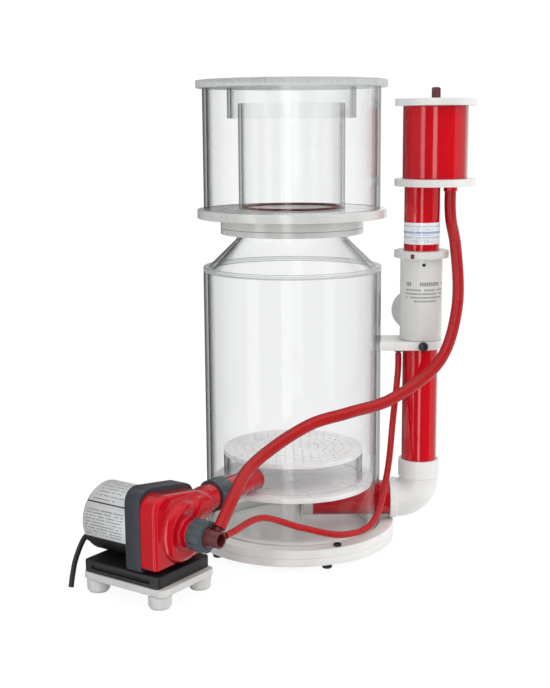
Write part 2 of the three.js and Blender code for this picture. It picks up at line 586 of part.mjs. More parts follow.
function volute() {
  const block = upright(headShape(VOLUTE_W, VOLUTE_Z, VOLUTE_TOP), VOLUTE_X, VOLUTE_FACE_X);
  const [scrollEdge, scrollFace] = [VOLUTE_FACE_X + 6, VOLUTE_FACE_X + 10];
  const scrollSide = [[0, 50], [SCROLL_R, 50], [SCROLL_R, scrollEdge]];
  const scroll = [...scrollSide, [SCROLL_R - 6, scrollFace], [0, scrollFace]];
  const bulge = alongX(turned(scroll, MID), 0, SHAFT_Z);
  const boss = alongX(disc(BOSS_R, 60, BOSS_TIP_X, MID), 0, SHAFT_Z);
  const hornR = DISCHARGE_R + 1;
  const horn = alongY(disc(hornR, 20, 60, MID), VOLUTE_X + hornR + 1, DISCHARGE_Z);
  const hornEnd = alongY(disc(DISCHARGE_R + 2, 56, HORN_TIP_Y, MID), DISCHARGE_X, DISCHARGE_Z);
  const chamber = alongX(disc(34, VOLUTE_X - 1, 56, MID), 0, SHAFT_Z);
  const suction = alongX(disc(INLET_R + FIT, 50, BOSS_TIP_X + 1, MID), 0, SHAFT_Z);
  const outlet = alongY(disc(8, 20, 60, MID), VOLUTE_X + 14, DISCHARGE_Z);
  const outletEnd = alongY(disc(11, 58, HORN_TIP_Y + 1, MID), DISCHARGE_X, DISCHARGE_Z);
  const shell = join(block, bulge, boss, horn, hornEnd);
  add(pump, 'volute', RED, cut(shell, chamber, suction, outlet, outletEnd));

  const hub = alongX(disc(28, 47, 50, MID), 0, SHAFT_Z);
  const pins = [];
  for (let i = 0; i < PIN_COUNT; i += 1) {
    const pin = alongX(disc(1.8, 37, 48, 6), 22, 0).rotateX((i * 2 * Math.PI) / PIN_COUNT);
    pins.push(pin.translate(0, 0, SHAFT_Z));
  }
  add(pump, 'impeller', WHITE, join(hub, ...pins));
}

// A union nut about +Z with shallow grip ribs.
function unionNut(rOut, rBore, z0, z1) {
  const body = ring(rBore, rOut, z0, z1, MID);
  const grooves = [];
  const count = 8;
  for (let i = 0; i < count; i += 1) {
    const groove = disc(2.4, z0 + 3, z1 + 1, 8).translate(rOut + 1, 0, 0);
    grooves.push(groove.rotateZ((i * 2 * Math.PI) / count));
  }
  return cut(body, ...grooves);
}

// A point on one of the two air inlets, which stand out from the shaft's axis on a tilt.
function inletPoint(inlet, distance) {
  const side = distance * Math.sin(inlet.tilt);
  return fromPump(inlet.x, side, SHAFT_Z + distance * Math.cos(inlet.tilt));
}

function pumpPiping() {
  const spigot = (inlet, r, from, to) => {
    const rod = disc(r, from, to, COARSE).rotateX(-inlet.tilt);
    return rod.translate(inlet.x, 0, SHAFT_Z);
  };
  const stub = alongX(disc(INLET_R, 60, INLET_TIP_X, MID), 0, SHAFT_Z);
  const bore = alongX(disc(9, 58, INLET_TIP_X + 1, MID), 0, SHAFT_Z);
  const body = join(stub, spigot(AIR_INLET, 5, 10, 32), spigot(LINE_INLET, 2.4, 10, 28));
  add(pump, 'inlet_venturi', DARK_RED, cut(body, bore, spigot(AIR_INLET, 3, 4, 33)));

  const nutX = BOSS_TIP_X + 1;
  const inletNut = unionNut(INLET_NUT_R, INLET_R + FIT, nutX, nutX + INLET_NUT_L);
  add(pump, 'inlet_nut', GREEN_GREY, alongX(inletNut, 0, SHAFT_Z));
  const dischargeNut = unionNut(DISCHARGE_NUT_R, DISCHARGE_R + FIT, HORN_TIP_Y + 1, 106);
  add(pump, 'discharge_nut', GREEN_GREY, alongY(dischargeNut, DISCHARGE_X, DISCHARGE_Z));
  const pipe = ring(DISCHARGE_R - 2.5, DISCHARGE_R, HORN_TIP_Y + 1, PUMP_REACH - CHAMBER_R + 6, MID);
  add(pump, 'discharge_pipe', RED, alongY(pipe, DISCHARGE_X, DISCHARGE_Z));
}

// ---- Hoses and cable ----------------------------------------------------------------

function hoses() {
  const airRoute = [
    [NOZZLE_X, 0, SILENCER_Z - 8.5],
    [NOZZLE_X, 0, SILENCER_Z - 28],
    [NOZZLE_X + 1, -4, SILENCER_Z - 48],
    [226, -22, 430],
    [228, -36, 345],
    [203, -56, 273],
    [132, -98, 228],
    [72, -130, 217],
    [18, -150, 205],
    [-58, -192, 161],
    inletPoint(AIR_INLET, 62),
    inletPoint(AIR_INLET, 36),
    inletPoint(AIR_INLET, 15),
  ];
  add(group, 'air_hose', RED, hose(airRoute, AIR_HOSE_R, AIR_HOSE_BORE_R, 30));

  const lineRoute = [
    inletPoint(LINE_INLET, 15),
    inletPoint(LINE_INLET, 32),
    [-44, -197, 94],
    [10, -162, 68],
    [66, -134, 49],
    [106, -101, 53],
    [130, -55, 105],
    [142, -24, 185],
    [...LINE_TOP, BRACKET_Z - 28],
    [...LINE_TOP, BRACKET_Z - 7],
  ];
  add(group, 'air_line', RED, hose(lineRoute, AIR_LINE_R, AIR_LINE_BORE_R, 28, 6));

  const tip = [[0, BRACKET_Z - 16], [2.3, BRACKET_Z - 16], [2.3, BRACKET_Z - 6.5]];
  const shoulder = [[6, BRACKET_Z - 6.5], [6, BRACKET_Z - FIT], [0, BRACKET_Z - FIT]];
  const lineNozzle = add(group, 'air_line_nozzle', DARK_RED, turned([...tip, ...shoulder], COARSE));
  lineNozzle.position.set(...LINE_TOP, 0);

  const cableRoute = [
    fromPump(MOTOR_REAR_X - 0.8, -28, 64),
    fromPump(MOTOR_REAR_X - 9, -28, 63),
    [-287, -190, 40],
    [-291, -202, 18],
    [-292, -208, 6],
  ];
  add(group, 'power_cable', BLACK, hose(cableRoute, CABLE_R, 0, 12));
}

base();
reactionTube();
bayonetRing();
cup();
bubblePlate();
outletPipes();
bracket();
levelPipe();
silencer();
pumpStand();
motor();
volute();
pumpPiping();
hoses();
group.position.set(...TUBE_AXIS, 0);

export default group;
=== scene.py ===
"""Looks for an aquarium protein skimmer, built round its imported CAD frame.

The object is described in millimetres here and turned into metres as each mesh is made. +Z is up,
+X points to the outlet column, and the pump stands on the -X, -Y side. Sizes and places are read
from the CAD nodes and joints wherever a piece stands for one.
"""

import json
from math import asin, atan2, cos, hypot, pi, radians, sin

import bmesh
import bpy
from mathutils import Matrix, Vector

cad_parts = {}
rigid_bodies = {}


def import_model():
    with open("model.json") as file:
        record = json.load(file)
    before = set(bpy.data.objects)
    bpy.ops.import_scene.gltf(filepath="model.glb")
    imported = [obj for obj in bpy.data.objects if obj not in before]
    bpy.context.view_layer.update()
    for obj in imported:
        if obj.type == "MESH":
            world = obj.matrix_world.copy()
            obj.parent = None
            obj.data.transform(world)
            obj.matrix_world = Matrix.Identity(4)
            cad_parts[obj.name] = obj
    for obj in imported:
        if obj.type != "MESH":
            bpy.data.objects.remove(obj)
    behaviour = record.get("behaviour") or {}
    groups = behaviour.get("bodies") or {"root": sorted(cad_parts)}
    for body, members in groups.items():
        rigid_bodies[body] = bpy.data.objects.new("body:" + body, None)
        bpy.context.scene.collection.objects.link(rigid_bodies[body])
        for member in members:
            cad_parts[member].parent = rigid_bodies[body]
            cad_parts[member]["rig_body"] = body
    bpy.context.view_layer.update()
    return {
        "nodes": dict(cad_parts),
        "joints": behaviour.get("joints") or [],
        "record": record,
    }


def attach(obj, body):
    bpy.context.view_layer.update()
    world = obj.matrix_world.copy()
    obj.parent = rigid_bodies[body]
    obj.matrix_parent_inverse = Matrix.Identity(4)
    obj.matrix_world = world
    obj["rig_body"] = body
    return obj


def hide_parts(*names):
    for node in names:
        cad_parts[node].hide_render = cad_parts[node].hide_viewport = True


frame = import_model()

TO_METRES = Matrix.Scale(0.001, 4)
GRAIN_SCALE = 1400.0  # how fine the grain of moulded plastic is
WELD = 0.00001  # corners closer than this, in metres, are one corner
GAP = 0.3  # play between pieces that fit into each other
ROUND, WIDE, FINE = 220, 200, 160  # sides of the large round pieces
MID, SMALL = 80, 40  # sides of pipes, and of screws and spigots
TAU = 2 * pi
# How far light spreads inside, in metres of red, green and blue.
WHITE_GLOW, RED_GLOW = (0.004, 0.003, 0.0025), (0.006, 0.001, 0.001)


# ---- Reading the CAD frame ----


def at(x, y, z=0.0):
    return Matrix.Translation((x, y, z))


def joint(name):
    """A joint's place in mm and its axis."""
    found = next(j for j in frame["joints"] if j["name"] == name)
    return Vector(found["pos_m"]) * 1000, Vector(found["axis"])


def points_of(node, place=Matrix()):
    """The corners of a CAD node in mm, as seen from a place."""
    back = place.inverted()
    return [back @ (v.co * 1000) for v in frame["nodes"][node].data.vertices]


def span(node, place=Matrix()):
    """Lowest and highest corner along a place's +Z axis, and the largest and smallest reach from it."""
    points = points_of(node, place)
    heights = [p.z for p in points]
    reach = [hypot(p.x, p.y) for p in points]
    return min(heights), max(heights), max(reach), min(reach)


def section(node, place=Matrix()):
    """The heights at which a turned CAD node has corners, each with its radii, smallest first."""
    levels = {}
    for p in points_of(node, place):
        levels.setdefault(round(p.z, 1), set()).add(round(hypot(p.x, p.y), 1))
    return [(z, sorted(levels[z])) for z in sorted(levels)]


def room(node, place=Matrix()):
    """Lowest and highest corner of a CAD node's box, in mm, along the axes of a place."""
    points = points_of(node, place)
    low = Vector([min(p[i] for p in points) for i in range(3)])
    high = Vector([max(p[i] for p in points) for i in range(3)])
    return low, high


def middle(node):
    low, high = room(node)
    return (low + high) / 2


def upright_axis(node):
    """The vertical axis of a CAD node, as a place."""
    centre = middle(node)
    return at(centre.x, centre.y)


ALONG_X = Matrix(((0, 0, 1, 0), (1, 0, 0, 0), (0, 1, 0, 0), (0, 0, 0, 1)))
ALONG_Y = Matrix.Rotation(-pi / 2, 4, "X")
FORWARD = ALONG_Y.inverted()  # against +Y, to the front

column_at, _ = joint("level_turn")
COLUMN = at(column_at.x, column_at.y)
silencer_at, _ = joint("air_screw_turn")
SILENCER = at(silencer_at.x, silencer_at.y)
shaft_at, shaft_axis = joint("rotor_spin")
PUMP = at(shaft_at.x, shaft_at.y) @ Matrix.Rotation(atan2(shaft_axis.y, shaft_axis.x), 4, "Z")
SHAFT = PUMP @ at(0, 0, shaft_at.z) @ ALONG_X
discharge_at = PUMP.inverted() @ joint("discharge_nut_turn")[0]
DISCHARGE = PUMP @ at(discharge_at.x, 0, discharge_at.z) @ ALONG_Y


# ---- Skins: lists of corners and faces, in mm ----


def loft(rings, closed=False):
    """A skin over rings of equal length. An open skin has a flat cap at both ends."""
    size, count = len(rings[0]), len(rings)
    corners = [p for ring in rings for p in ring]
    faces = []
    for k in range(count if closed else count - 1):
        a, b = k * size, (k + 1) % count * size
        for i in range(size):
            j = (i + 1) % size
            faces.append((a + i, a + j, b + j, b + i))
    if not closed:
        faces.append(tuple(range(size)))
        faces.append(tuple(range((count - 1) * size, count * size)))
    return corners, faces


def bend(a, b, c, steps=10):
    """Points on a curve from a to c that leans towards b."""
    a, b, c = Vector(a), Vector(b), Vector(c)
    turns = [k / steps for k in range(steps + 1)]
    return [tuple(a * (1 - t) ** 2 + b * 2 * t * (1 - t) + c * t * t) for t in turns]


def soften(points, size, closed, steps=4):
    """A polyline of 2-D points with its corners rounded."""
    if size <= 0:
        return points
    out = []
    count = len(points)
    for i, point in enumerate(points):
        if not closed and i in (0, count - 1):
            out.append(tuple(point))
            continue
        here = Vector(point)
        before, after = Vector(points[i - 1]) - here, Vector(points[(i + 1) % count]) - here
        if abs(before.normalized().cross(after.normalized())) < 0.05:
            out.append(tuple(point))
            continue
        start = here + before.normalized() * min(size, before.length * 0.45)
        end = here + after.normalized() * min(size, after.length * 0.45)
        out += bend(start, here, end, steps)
    return out


def circle(r, z, sides, start=0.0):
    """A ring of corners, the first one that many sides round from +X."""
    turns = [(start + i) * TAU / sides for i in range(sides)]
    return [(r * cos(t), r * sin(t), z) for t in turns]


def lathe(profile, sides=FINE, edge=0.8):
    """A closed profile of (radius, height) points turned about +Z, with its corners rounded."""
    rounded = soften(profile, edge, True)
    return loft([circle(r, z, sides) for r, z in rounded], closed=True)


def tube(r_in, r_out, z0, z1, sides=FINE, edge=0.6):
    return lathe([(r_in, z0), (r_out, z0), (r_out, z1), (r_in, z1)], sides, edge)


def rod(profile, sides=FINE, edge=0.8):
    """A solid turned about +Z: the profile runs from the bottom's rim to the top's rim."""
    whole = [(0, profile[0][1]), *profile, (0, profile[-1][1])]
    rounded = soften(whole, edge, False)[1:-1]
    return loft([circle(r, z, sides) for r, z in rounded])


def disc(r, z0, z1, sides=FINE, edge=0.8):
    return rod([(r, z0), (r, z1)], sides, edge)


def ribbed(levels, count, depth, sides, sharp=1.0):
    """Rings of (radius, height, share of the rib's depth), with that many ribs round them."""
    rings = []
    for r, z, share in levels:
        ring = []
        for i in range(sides):
            angle = i * TAU / sides
            groove = (0.5 - 0.5 * cos(angle * count)) ** sharp
            reach = r - depth * share * groove
            ring.append((reach * cos(angle), reach * sin(angle), z))
        rings.append(ring)
    return rings


def arc_points(x, y, r, a0, a1, steps):
    turns = [a0 + (a1 - a0) * k / steps for k in range(steps + 1)]
    return [(x + r * cos(t), y + r * sin(t)) for t in turns]


def rounded_rect(x0, x1, y0, y1, corner, steps=8):
    left, right, front, back = x0 + corner, x1 - corner, y0 + corner, y1 - corner
    points = []
    for turn, (x, y) in enumerate([(right, back), (left, back), (left, front), (right, front)]):
        points += arc_points(x, y, corner, turn * pi / 2, (turn + 1) * pi / 2, steps)
    return points


def block(low, high, corner, edge, steps=5):
    """A slab between two corners, its upright edges rounded more than its level ones."""
    (x0, y0, z0), (x1, y1, z1) = low, high
    levels = []
    for k in range(steps + 1):
        angle = k / steps * pi / 2
        levels.append((edge * (1 - sin(angle)), z0 + edge * (1 - cos(angle))))
    levels += [(inset, z0 + z1 - z) for inset, z in reversed(levels)]
    rings = []
    for inset, z in levels:
        flat = rounded_rect(x0 + inset, x1 - inset, y0 + inset, y1 - inset, max(corner - inset, 0.2))
        rings.append([(x, y, z) for x, y in flat])
    return loft(rings)


def arc_shell(r0, r1, z0, z1, a0, a1, steps=64, edge=0.1):
    """A thin curved sheet about +Z, from angle a0 to angle a1."""
    flat = soften([(r0, z0), (r1, z0), (r1, z1), (r0, z1)], edge, True, 2)
    rings = []
    for k in range(steps + 1):
        angle = a0 + (a1 - a0) * k / steps
        rings.append([(r * cos(angle), r * sin(angle), z) for r, z in flat])
    return loft(rings)


def smooth_route(route, spacing=4.0):
    """Evenly dense points on the centripetal Catmull-Rom curve through a route."""
    points = [Vector(p) for p in route]
    points = [points[0] * 2 - points[1], *points, points[-1] * 2 - points[-2]]
    out = []
    for i in range(1, len(points) - 2):
        p = points[i - 1 : i + 3]
        knots = [0.0]
        for a, b in zip(p, p[1:]):
            knots.append(knots[-1] + max((b - a).length, 1e-6) ** 0.5)
        steps = max(2, round((p[2] - p[1]).length / spacing))
        for k in range(steps):
            t = knots[1] + (knots[2] - knots[1]) * k / steps
            rows = list(p)
            for depth in (1, 2, 3):
                for j in range(4 - depth):
                    lo, hi = (knots[1], knots[2]) if depth == 3 else (knots[j], knots[j + depth])
                    rows[j] = rows[j].lerp(rows[j + 1], (t - lo) / (hi - lo))
            out.append(rows[0])
    out.append(points[-2])
    return out


def sweep(path, outer, inner=None, sides=SMALL):
    """A round rod or pipe along a path. outer and inner hold a radius, or one radius per point."""
    path = [Vector(p) for p in path]
    count = len(path)
    outer = outer if isinstance(outer, list) else [outer] * count
    ends = [path[0], *path, path[-1]]
    tangents = [(b - a).normalized() for a, b in zip(ends, ends[2:])]
    side = tangents[0].orthogonal().normalized()
    frames = []
    for tangent in tangents:
        side = (side - tangent * side.dot(tangent)).normalized()
        frames.append((side.copy(), tangent.cross(side)))

    def ring(i, r):
        a, b = frames[i]
        return [tuple(path[i] + (a * x + b * y) * r) for x, y, _ in circle(1.0, 0, sides)]

    rings = [ring(i, outer[i]) for i in range(count)]
    if inner is None:
        return loft(rings)
    inner = inner if isinstance(inner, list) else [inner] * count
    rings += [ring(i, inner[i]) for i in reversed(range(count))]
    return loft(rings, closed=True)


# ---- Materials ----


class Finish:
    """A node material, or the world's nodes, under construction."""

    def __init__(self, name, world=False):
        self.owner = (bpy.data.worlds if world else bpy.data.materials).new(name)
        self.owner.use_nodes = True
        self.tree = self.owner.node_tree
        self.tree.nodes.clear()
        self.out = self.node("ShaderNodeOutputWorld" if world else "ShaderNodeOutputMaterial")
        self.place = self.node("ShaderNodeTexCoord").outputs["Generated" if world else "Object"]

    def node(self, kind, inputs=None, **settings):
        made = self.tree.nodes.new(kind)
        for key, value in settings.items():
            setattr(made, key, value)
        for key, value in (inputs or {}).items():
            if isinstance(value, bpy.types.NodeSocket):
                self.tree.links.new(value, made.inputs[key])
            else:
                made.inputs[key].default_value = value
        return made

    def math(self, operation, a, b=0.0, clamp=False):
        made = self.node("ShaderNodeMath", {0: a, 1: b}, operation=operation, use_clamp=clamp)
        return made.outputs[0]

    def times(self, a, b):
        return self.math("MULTIPLY", a, b)

    def minus(self, a, b):
        return self.math("SUBTRACT", a, b)

    def noise(self, scale, detail=2.0, vector=None, stretch=None):
        vector = vector or self.place
        if stretch:
            vector = self.node("ShaderNodeMapping", {"Vector": vector, "Scale": stretch}).outputs[0]
        inputs = {"Vector": vector, "Scale": scale, "Detail": detail}
        return self.node("ShaderNodeTexNoise", inputs).outputs[0]

    def cloud(self, scale, detail, low=0.0, high=1.0, start=0.3, end=0.7, stretch=None):
        """Noise spread between two values."""
        return self.span(self.noise(scale, detail, stretch=stretch), low, high, start, end)

    def span(self, value, low=0.0, high=1.0, start=0.3, end=0.7):
        """A value's stretch from start to end, spread between two others."""
        inputs = {"Value": value, "From Min": start, "From Max": end, "To Min": low, "To Max": high}
        return self.node("ShaderNodeMapRange", inputs).outputs[0]

    def ramp(self, value, stops, interpolation="LINEAR"):
        made = self.node("ShaderNodeValToRGB", {"Fac": value})
        made.color_ramp.interpolation = interpolation
        elements = made.color_ramp.elements
        while len(elements) < len(stops):
            elements.new(0.5)
        for element, (position, colour) in zip(elements, stops):
            element.position = position
            element.color = (*colour, 1.0)
        return made.outputs["Color"]

    def mix(self, share, a, b):
        a, b = [c if isinstance(c, bpy.types.NodeSocket) else (*c, 1.0) for c in (a, b)]
        return self.node("ShaderNodeMix", {0: share, 6: a, 7: b}, data_type="RGBA").outputs[2]

    def bump(self, height, distance, normal=None):
        inputs = {"Height": height, "Distance": distance}
        if normal is not None:
            inputs["Normal"] = normal
        return self.node("ShaderNodeBump", inputs).outputs[0]

    def facing(self):
        return self.node("ShaderNodeLayerWeight", {"Blend": 0.5}).outputs["Facing"]

    def axes(self, vector=None):
        """The parts of a place along x, y and z."""
        return self.node("ShaderNodeSeparateXYZ", {"Vector": vector or self.place}).outputs

    def blend(self, share, a, b):
        """A shader part of the way from one to another."""
        return self.node("ShaderNodeMixShader", {0: share, 1: a.outputs[0], 2: b.outputs[0]})

    def surface(self, shader):
        self.tree.links.new(shader.outputs[0], self.out.inputs["Surface"])
        return self.owner

    def principled(self, **inputs):
        names = {key.replace("_", " "): value for key, value in inputs.items()}
        return self.surface(self.node("ShaderNodeBsdfPrincipled", names))


def moulded(name, colour, rough=0.4, grain=0.00004, wear=0.0, coat=0.0, soft=0.0):
    """Moulded or machined plastic: cloudy colour, fine grain, uneven polish and paler edges."""
    f = Finish(name)
    tone = f.mix(f.cloud(22.0, 3.0), tuple(c * 0.86 for c in colour), colour)
    if wear:
        point = f.node("ShaderNodeNewGeometry").outputs["Pointiness"]
        edge = f.times(f.span(point, start=0.515, end=0.58), f.noise(160.0, 4.0))
        paler = tuple(min(1.0, c * 1.6 + 0.06) for c in colour)
        tone = f.mix(f.math("MULTIPLY", edge, wear, clamp=True), tone, paler)
    return f.principled(
        Base_Color=tone, Roughness=f.cloud(60.0, 4.0, rough - 0.07, rough + 0.07), Coat_Weight=coat,
        Coat_Roughness=0.12, Subsurface_Weight=soft, Subsurface_Radius=WHITE_GLOW,
        Subsurface_Scale=1.0, Normal=f.bump(f.noise(GRAIN_SCALE), grain),
    )


def red_tube(name, colour, tube_shade_colour, ripple=0.0, coat=1.0, rough=0.16):
    """Translucent red tube, with painted shade: its colour darkens towards the sides that turn from the
    viewer and is saturated where it faces the viewer.
    """
    f = Finish(name)
    cloud = f.cloud(14.0, 3.0, stretch=(1, 1, 0.25))
    lit = f.mix(cloud, tuple(c * 0.9 for c in colour), colour)
    # Painted shade: the colour turns to the shade colour where the tube turns away from the viewer.
    tone = f.mix(f.span(f.facing(), 0.0, 0.85, 0.25, 0.95), lit, tube_shade_colour)
    streak = f.bump(f.noise(260.0, stretch=(1, 1, 0.02)), 0.00003)
    if ripple:
        streak = f.bump(f.noise(420.0, 3.0), ripple, normal=streak)
    return f.principled(
        Base_Color=tone, Roughness=f.cloud(90.0, 3.0, rough - 0.04, rough + 0.05),
        Specular_IOR_Level=0.15, Coat_Weight=coat, Coat_Roughness=0.03, Subsurface_Weight=0.1,
        Subsurface_Radius=RED_GLOW, Subsurface_Scale=1.0, Normal=streak,
    )


def clear_acrylic(name, edges, blur=0.02):
    """Polished clear acrylic: nearly invisible face on, with painted shade that darkens it at a slant.
    edges holds (slant, share of light let through).
    """
    f = Finish(name)
    facing = f.facing()
    # Painted shade: the see-through colour darkens at a slant, standing in for dark surroundings seen
    # through the wall.
    stops = [(slant, (share * 0.998, share, share)) for slant, share in edges]
    through = f.node("ShaderNodeBsdfTransparent", {"Color": f.ramp(facing, stops)})
    wave = f.noise(9.0, stretch=(1, 1, 0.2))
    gloss = f.node("ShaderNodeBsdfAnisotropic", {
        "Color": (0.9, 0.92, 0.93, 1), "Roughness": f.cloud(70.0, 4.0, blur, blur + 0.06),
        "Normal": f.bump(wave, 0.0004),
    })
    shine = f.math("ADD", f.times(f.math("POWER", facing, 3.0), 0.5), 0.012, clamp=True)
    return f.surface(f.blend(shine, through, gloss))


def cut_acrylic():
    """The sawn and flamed edge of clear sheet: milky, a little grey-green, with faint saw marks."""
    f = Finish("cut_acrylic")
    marks = f.noise(500.0, stretch=(1, 1, 0.1))
    tone = f.mix(f.span(marks), (0.42, 0.435, 0.43), (0.55, 0.565, 0.56))
    body = f.node("ShaderNodeBsdfPrincipled", {
        "Base Color": tone, "Roughness": f.cloud(120.0, 3.0, 0.22, 0.42), "Subsurface Weight": 0.3,
        "Subsurface Radius": (0.004, 0.004, 0.004), "Normal": f.bump(marks, 0.00005),
    })
    through = f.node("ShaderNodeBsdfTransparent", {"Color": (0.93, 0.95, 0.95, 1)})
    veil = f.span(f.facing(), 0.42, 0.8, start=0.0, end=1.0)
    return f.surface(f.blend(veil, through, body))


def print_rows(f, u, v, rows, words=0.3, gap=0.28):
    """A mask of printed bars. Rows hold (middle, half height, start, end, cell) in the units of u, v."""
    total = None
    for seed, (level, half, start, end, cell) in enumerate(rows):
        in_row = f.math("LESS_THAN", f.math("ABSOLUTE", f.minus(v, level)), half)
        off = f.math("ABSOLUTE", f.minus(u, (start + end) / 2))
        in_line = f.math("LESS_THAN", off, (end - start) / 2)
        index = f.math("ADD", f.math("FLOOR", f.math("DIVIDE", u, cell)), seed * 37.7)
        random = f.node("ShaderNodeTexWhiteNoise", {"W": index}, noise_dimensions="1D").outputs[0]
        inked = f.math("GREATER_THAN", random, words)
        stroke = f.math("GREATER_THAN", f.math("FRACT", f.math("DIVIDE", u, cell / 2)), gap)
        bar = f.times(f.times(in_row, in_line), f.times(inked, stroke))
        total = bar if total is None else f.math("MAXIMUM", total, bar)
    return total


def around(f, axis_x, axis_y, radius):
    """Arc length in mm round a vertical axis, from its -Y side towards +X, and the height in mm."""
    x, y, z = f.axes()
    x = f.minus(x, axis_x / 1000)
    y = f.minus(axis_y / 1000, y)
    arc = f.times(f.math("ARCTAN2", x, y), radius)
    return arc, f.times(z, 1000.0)


def printed_sleeve():
    """White PVC with a bold bar and three lines of fine bars printed on its front."""
    f = Finish("printed_pvc")
    arc, height = around(f, column_at.x, column_at.y, SLEEVE_R)
    ink = print_rows(f, arc, height, SLEEVE_PRINT, 0.12)
    mark = print_rows(f, arc, height, SLEEVE_MARK, -1.0, -1.0)
    cloud = f.cloud(22.0, 3.0)
    # The unprinted sleeve is the painted-shade copy of the white.
    plain = f.mix(cloud, tuple(c * 0.93 for c in SHADED_WHITE), SHADED_WHITE)
    tone = f.mix(f.times(ink, 0.78), plain, (0.10, 0.10, 0.11))
    tone = f.mix(mark, tone, (0.10, 0.02, 0.02))
    return f.principled(
        Base_Color=tone, Roughness=f.cloud(60.0, 4.0, 0.28, 0.42), Subsurface_Weight=0.08,
        Subsurface_Radius=WHITE_GLOW, Normal=f.bump(f.noise(GRAIN_SCALE), 0.00003),
    )


def label_film():
    """White film with a pale blue band and a few lines of fine bars."""
    f = Finish("label_film")
    arc, height = around(f, column_at.x, column_at.y, PIPE_R)
    low, high, _, _ = span("level_label")
    share = f.span(height, start=low, end=high)
    blank, blue, grey = (0.80, 0.83, 0.87), (0.30, 0.42, 0.62), (0.55, 0.60, 0.66)
    stops = [(0.0, blank), (0.28, grey), (0.36, blank), (0.5, blue), (0.6, blank)]
    tone = f.ramp(share, [*stops, (0.8, grey), (0.86, blank)], "CONSTANT")
    rows = [(low + (high - low) * s, 0.8, -18.0, 14.0, 1.7) for s in (0.12, 0.2, 0.44, 0.7)]
    tone = f.mix(f.times(print_rows(f, arc, height, rows), 0.6), tone, (0.18, 0.2, 0.26))
    return f.principled(
        Base_Color=tone, Roughness=f.cloud(110.0, 3.0, 0.25, 0.4), Coat_Weight=0.4,
        Normal=f.bump(f.noise(300.0), 0.00003),
    )


def pump_place(f):
    """The pump's own place in mm: along the shaft, towards the tube, and up."""
    inputs = {
        "Vector": f.place,
        "Location": tuple(c / 1000 for c in PUMP.to_translation()),
        "Rotation": tuple(PUMP.to_euler()),
    }
    local = f.node("ShaderNodeMapping", inputs, vector_type="TEXTURE").outputs[0]
    return [f.times(part, 1000.0) for part in f.axes(local)]


def silver_film():
    """Brushed silver film with generic printed bars on both halves and a dark seam between them."""
    f = Finish("silver_film")
    along, across, up = pump_place(f)
    rise = f.minus(up, shaft_at.z)
    turn = f.math("ARCTAN2", rise, f.times(across, -1.0))
    arc = f.times(turn, LABEL_R)
    rows = [(level, 0.8, -67.0, -4.0, 2.4) for level in range(-11, 22, 4)]
    rows += [(level, 0.8, -64.0, -8.0 if level % 12 else -22.0, 2.9) for level in range(36, 78, 6)]
    ink = print_rows(f, along, arc, rows, 0.2)
    seam = f.math("LESS_THAN", f.math("ABSOLUTE", f.minus(arc, LABEL_SEAM)), 0.9)
    brushed = f.noise(900.0, 2.0, vector=f.node("ShaderNodeCombineXYZ", {
        "X": f.times(along, 0.00002), "Y": f.times(arc, 0.001)}).outputs[0])
    plain = f.mix(f.span(brushed), (0.62, 0.63, 0.64), (0.76, 0.77, 0.78))
    tone = f.mix(f.times(ink, 0.8), plain, (0.07, 0.07, 0.08))
    tone = f.mix(seam, tone, (0.012, 0.012, 0.014))
    return f.principled(
        Base_Color=tone, Metallic=f.span(ink, 0.45, 0.1, 0.0, 1.0),
        Roughness=f.span(brushed, 0.34, 0.5), Normal=f.bump(brushed, 0.00002),
    )


def hose_look(name, colour, hose_shade_colour):
    """Soft translucent hose: glossy skin, cloudy body, a fine extruded ripple and painted shade that
    darkens its sides.
    """
    f = Finish(name)
    cloud = f.cloud(14.0, 2.0)
    lit = f.mix(cloud, tuple(c * 0.9 for c in colour), colour)
    # Painted shade: the colour turns to the shade colour where the hose turns away from the viewer.
    tone = f.mix(f.span(f.facing(), 0.0, 0.9, 0.35, 1.0), lit, hose_shade_colour)
    return f.principled(
        Base_Color=tone, Roughness=f.cloud(140.0, 3.0, 0.26, 0.38), Specular_IOR_Level=0.35,
        Coat_Weight=0.25, Coat_Roughness=0.12, Subsurface_Weight=0.12,
        Subsurface_Radius=RED_GLOW, Normal=f.bump(f.noise(180.0), 0.00001),
    )


def rubber(name, colour):
    f = Finish(name)
    dust = f.cloud(130.0, 4.0, start=0.45, end=0.75)
    tone = f.mix(dust, colour, tuple(c * 1.7 + 0.01 for c in colour))
    return f.principled(
        Base_Color=tone, Roughness=f.cloud(200.0, 3.0, 0.62, 0.85),
        Normal=f.bump(f.noise(900.0, 4.0), 0.00008),
    )


def ground_metal(name, colour, rough, lines):
    """Turned or wound metal, with fine lines across the shaft."""
    f = Finish(name)
    along, _, _ = pump_place(f)
    cut = f.node("ShaderNodeCombineXYZ", {"X": f.times(along, 0.001)}).outputs[0]
    grooves = f.noise(lines, 3.0, vector=cut)
    tone = f.mix(f.span(grooves), tuple(c * 0.8 for c in colour), colour)
    return f.principled(
        Base_Color=tone, Metallic=1.0, Roughness=f.span(grooves, rough - 0.05, rough + 0.08),
        Normal=f.bump(grooves, 0.00005),
    )


# ---- Sizes and looks ----

SLOT_OF = {part["node"]: part["material_slot"] for part in frame["record"]["subparts"]}
AXIS = upright_axis("base_plate")
TUBE_Z0, TUBE_Z1, TUBE_R, TUBE_IN = span("reaction_tube", AXIS)
_, PIPE_Z1, PIPE_R, PIPE_IN = span("level_pipe", COLUMN)
COLUMN_X = COLUMN.translation.x - AXIS.translation.x
SLEEVE_R = PIPE_R + 4.5
LABEL_R = span("motor_label", SHAFT)[2]
LABEL_SEAM = 31.0  # arc length from the pump's outer side up to the label's seam, in mm

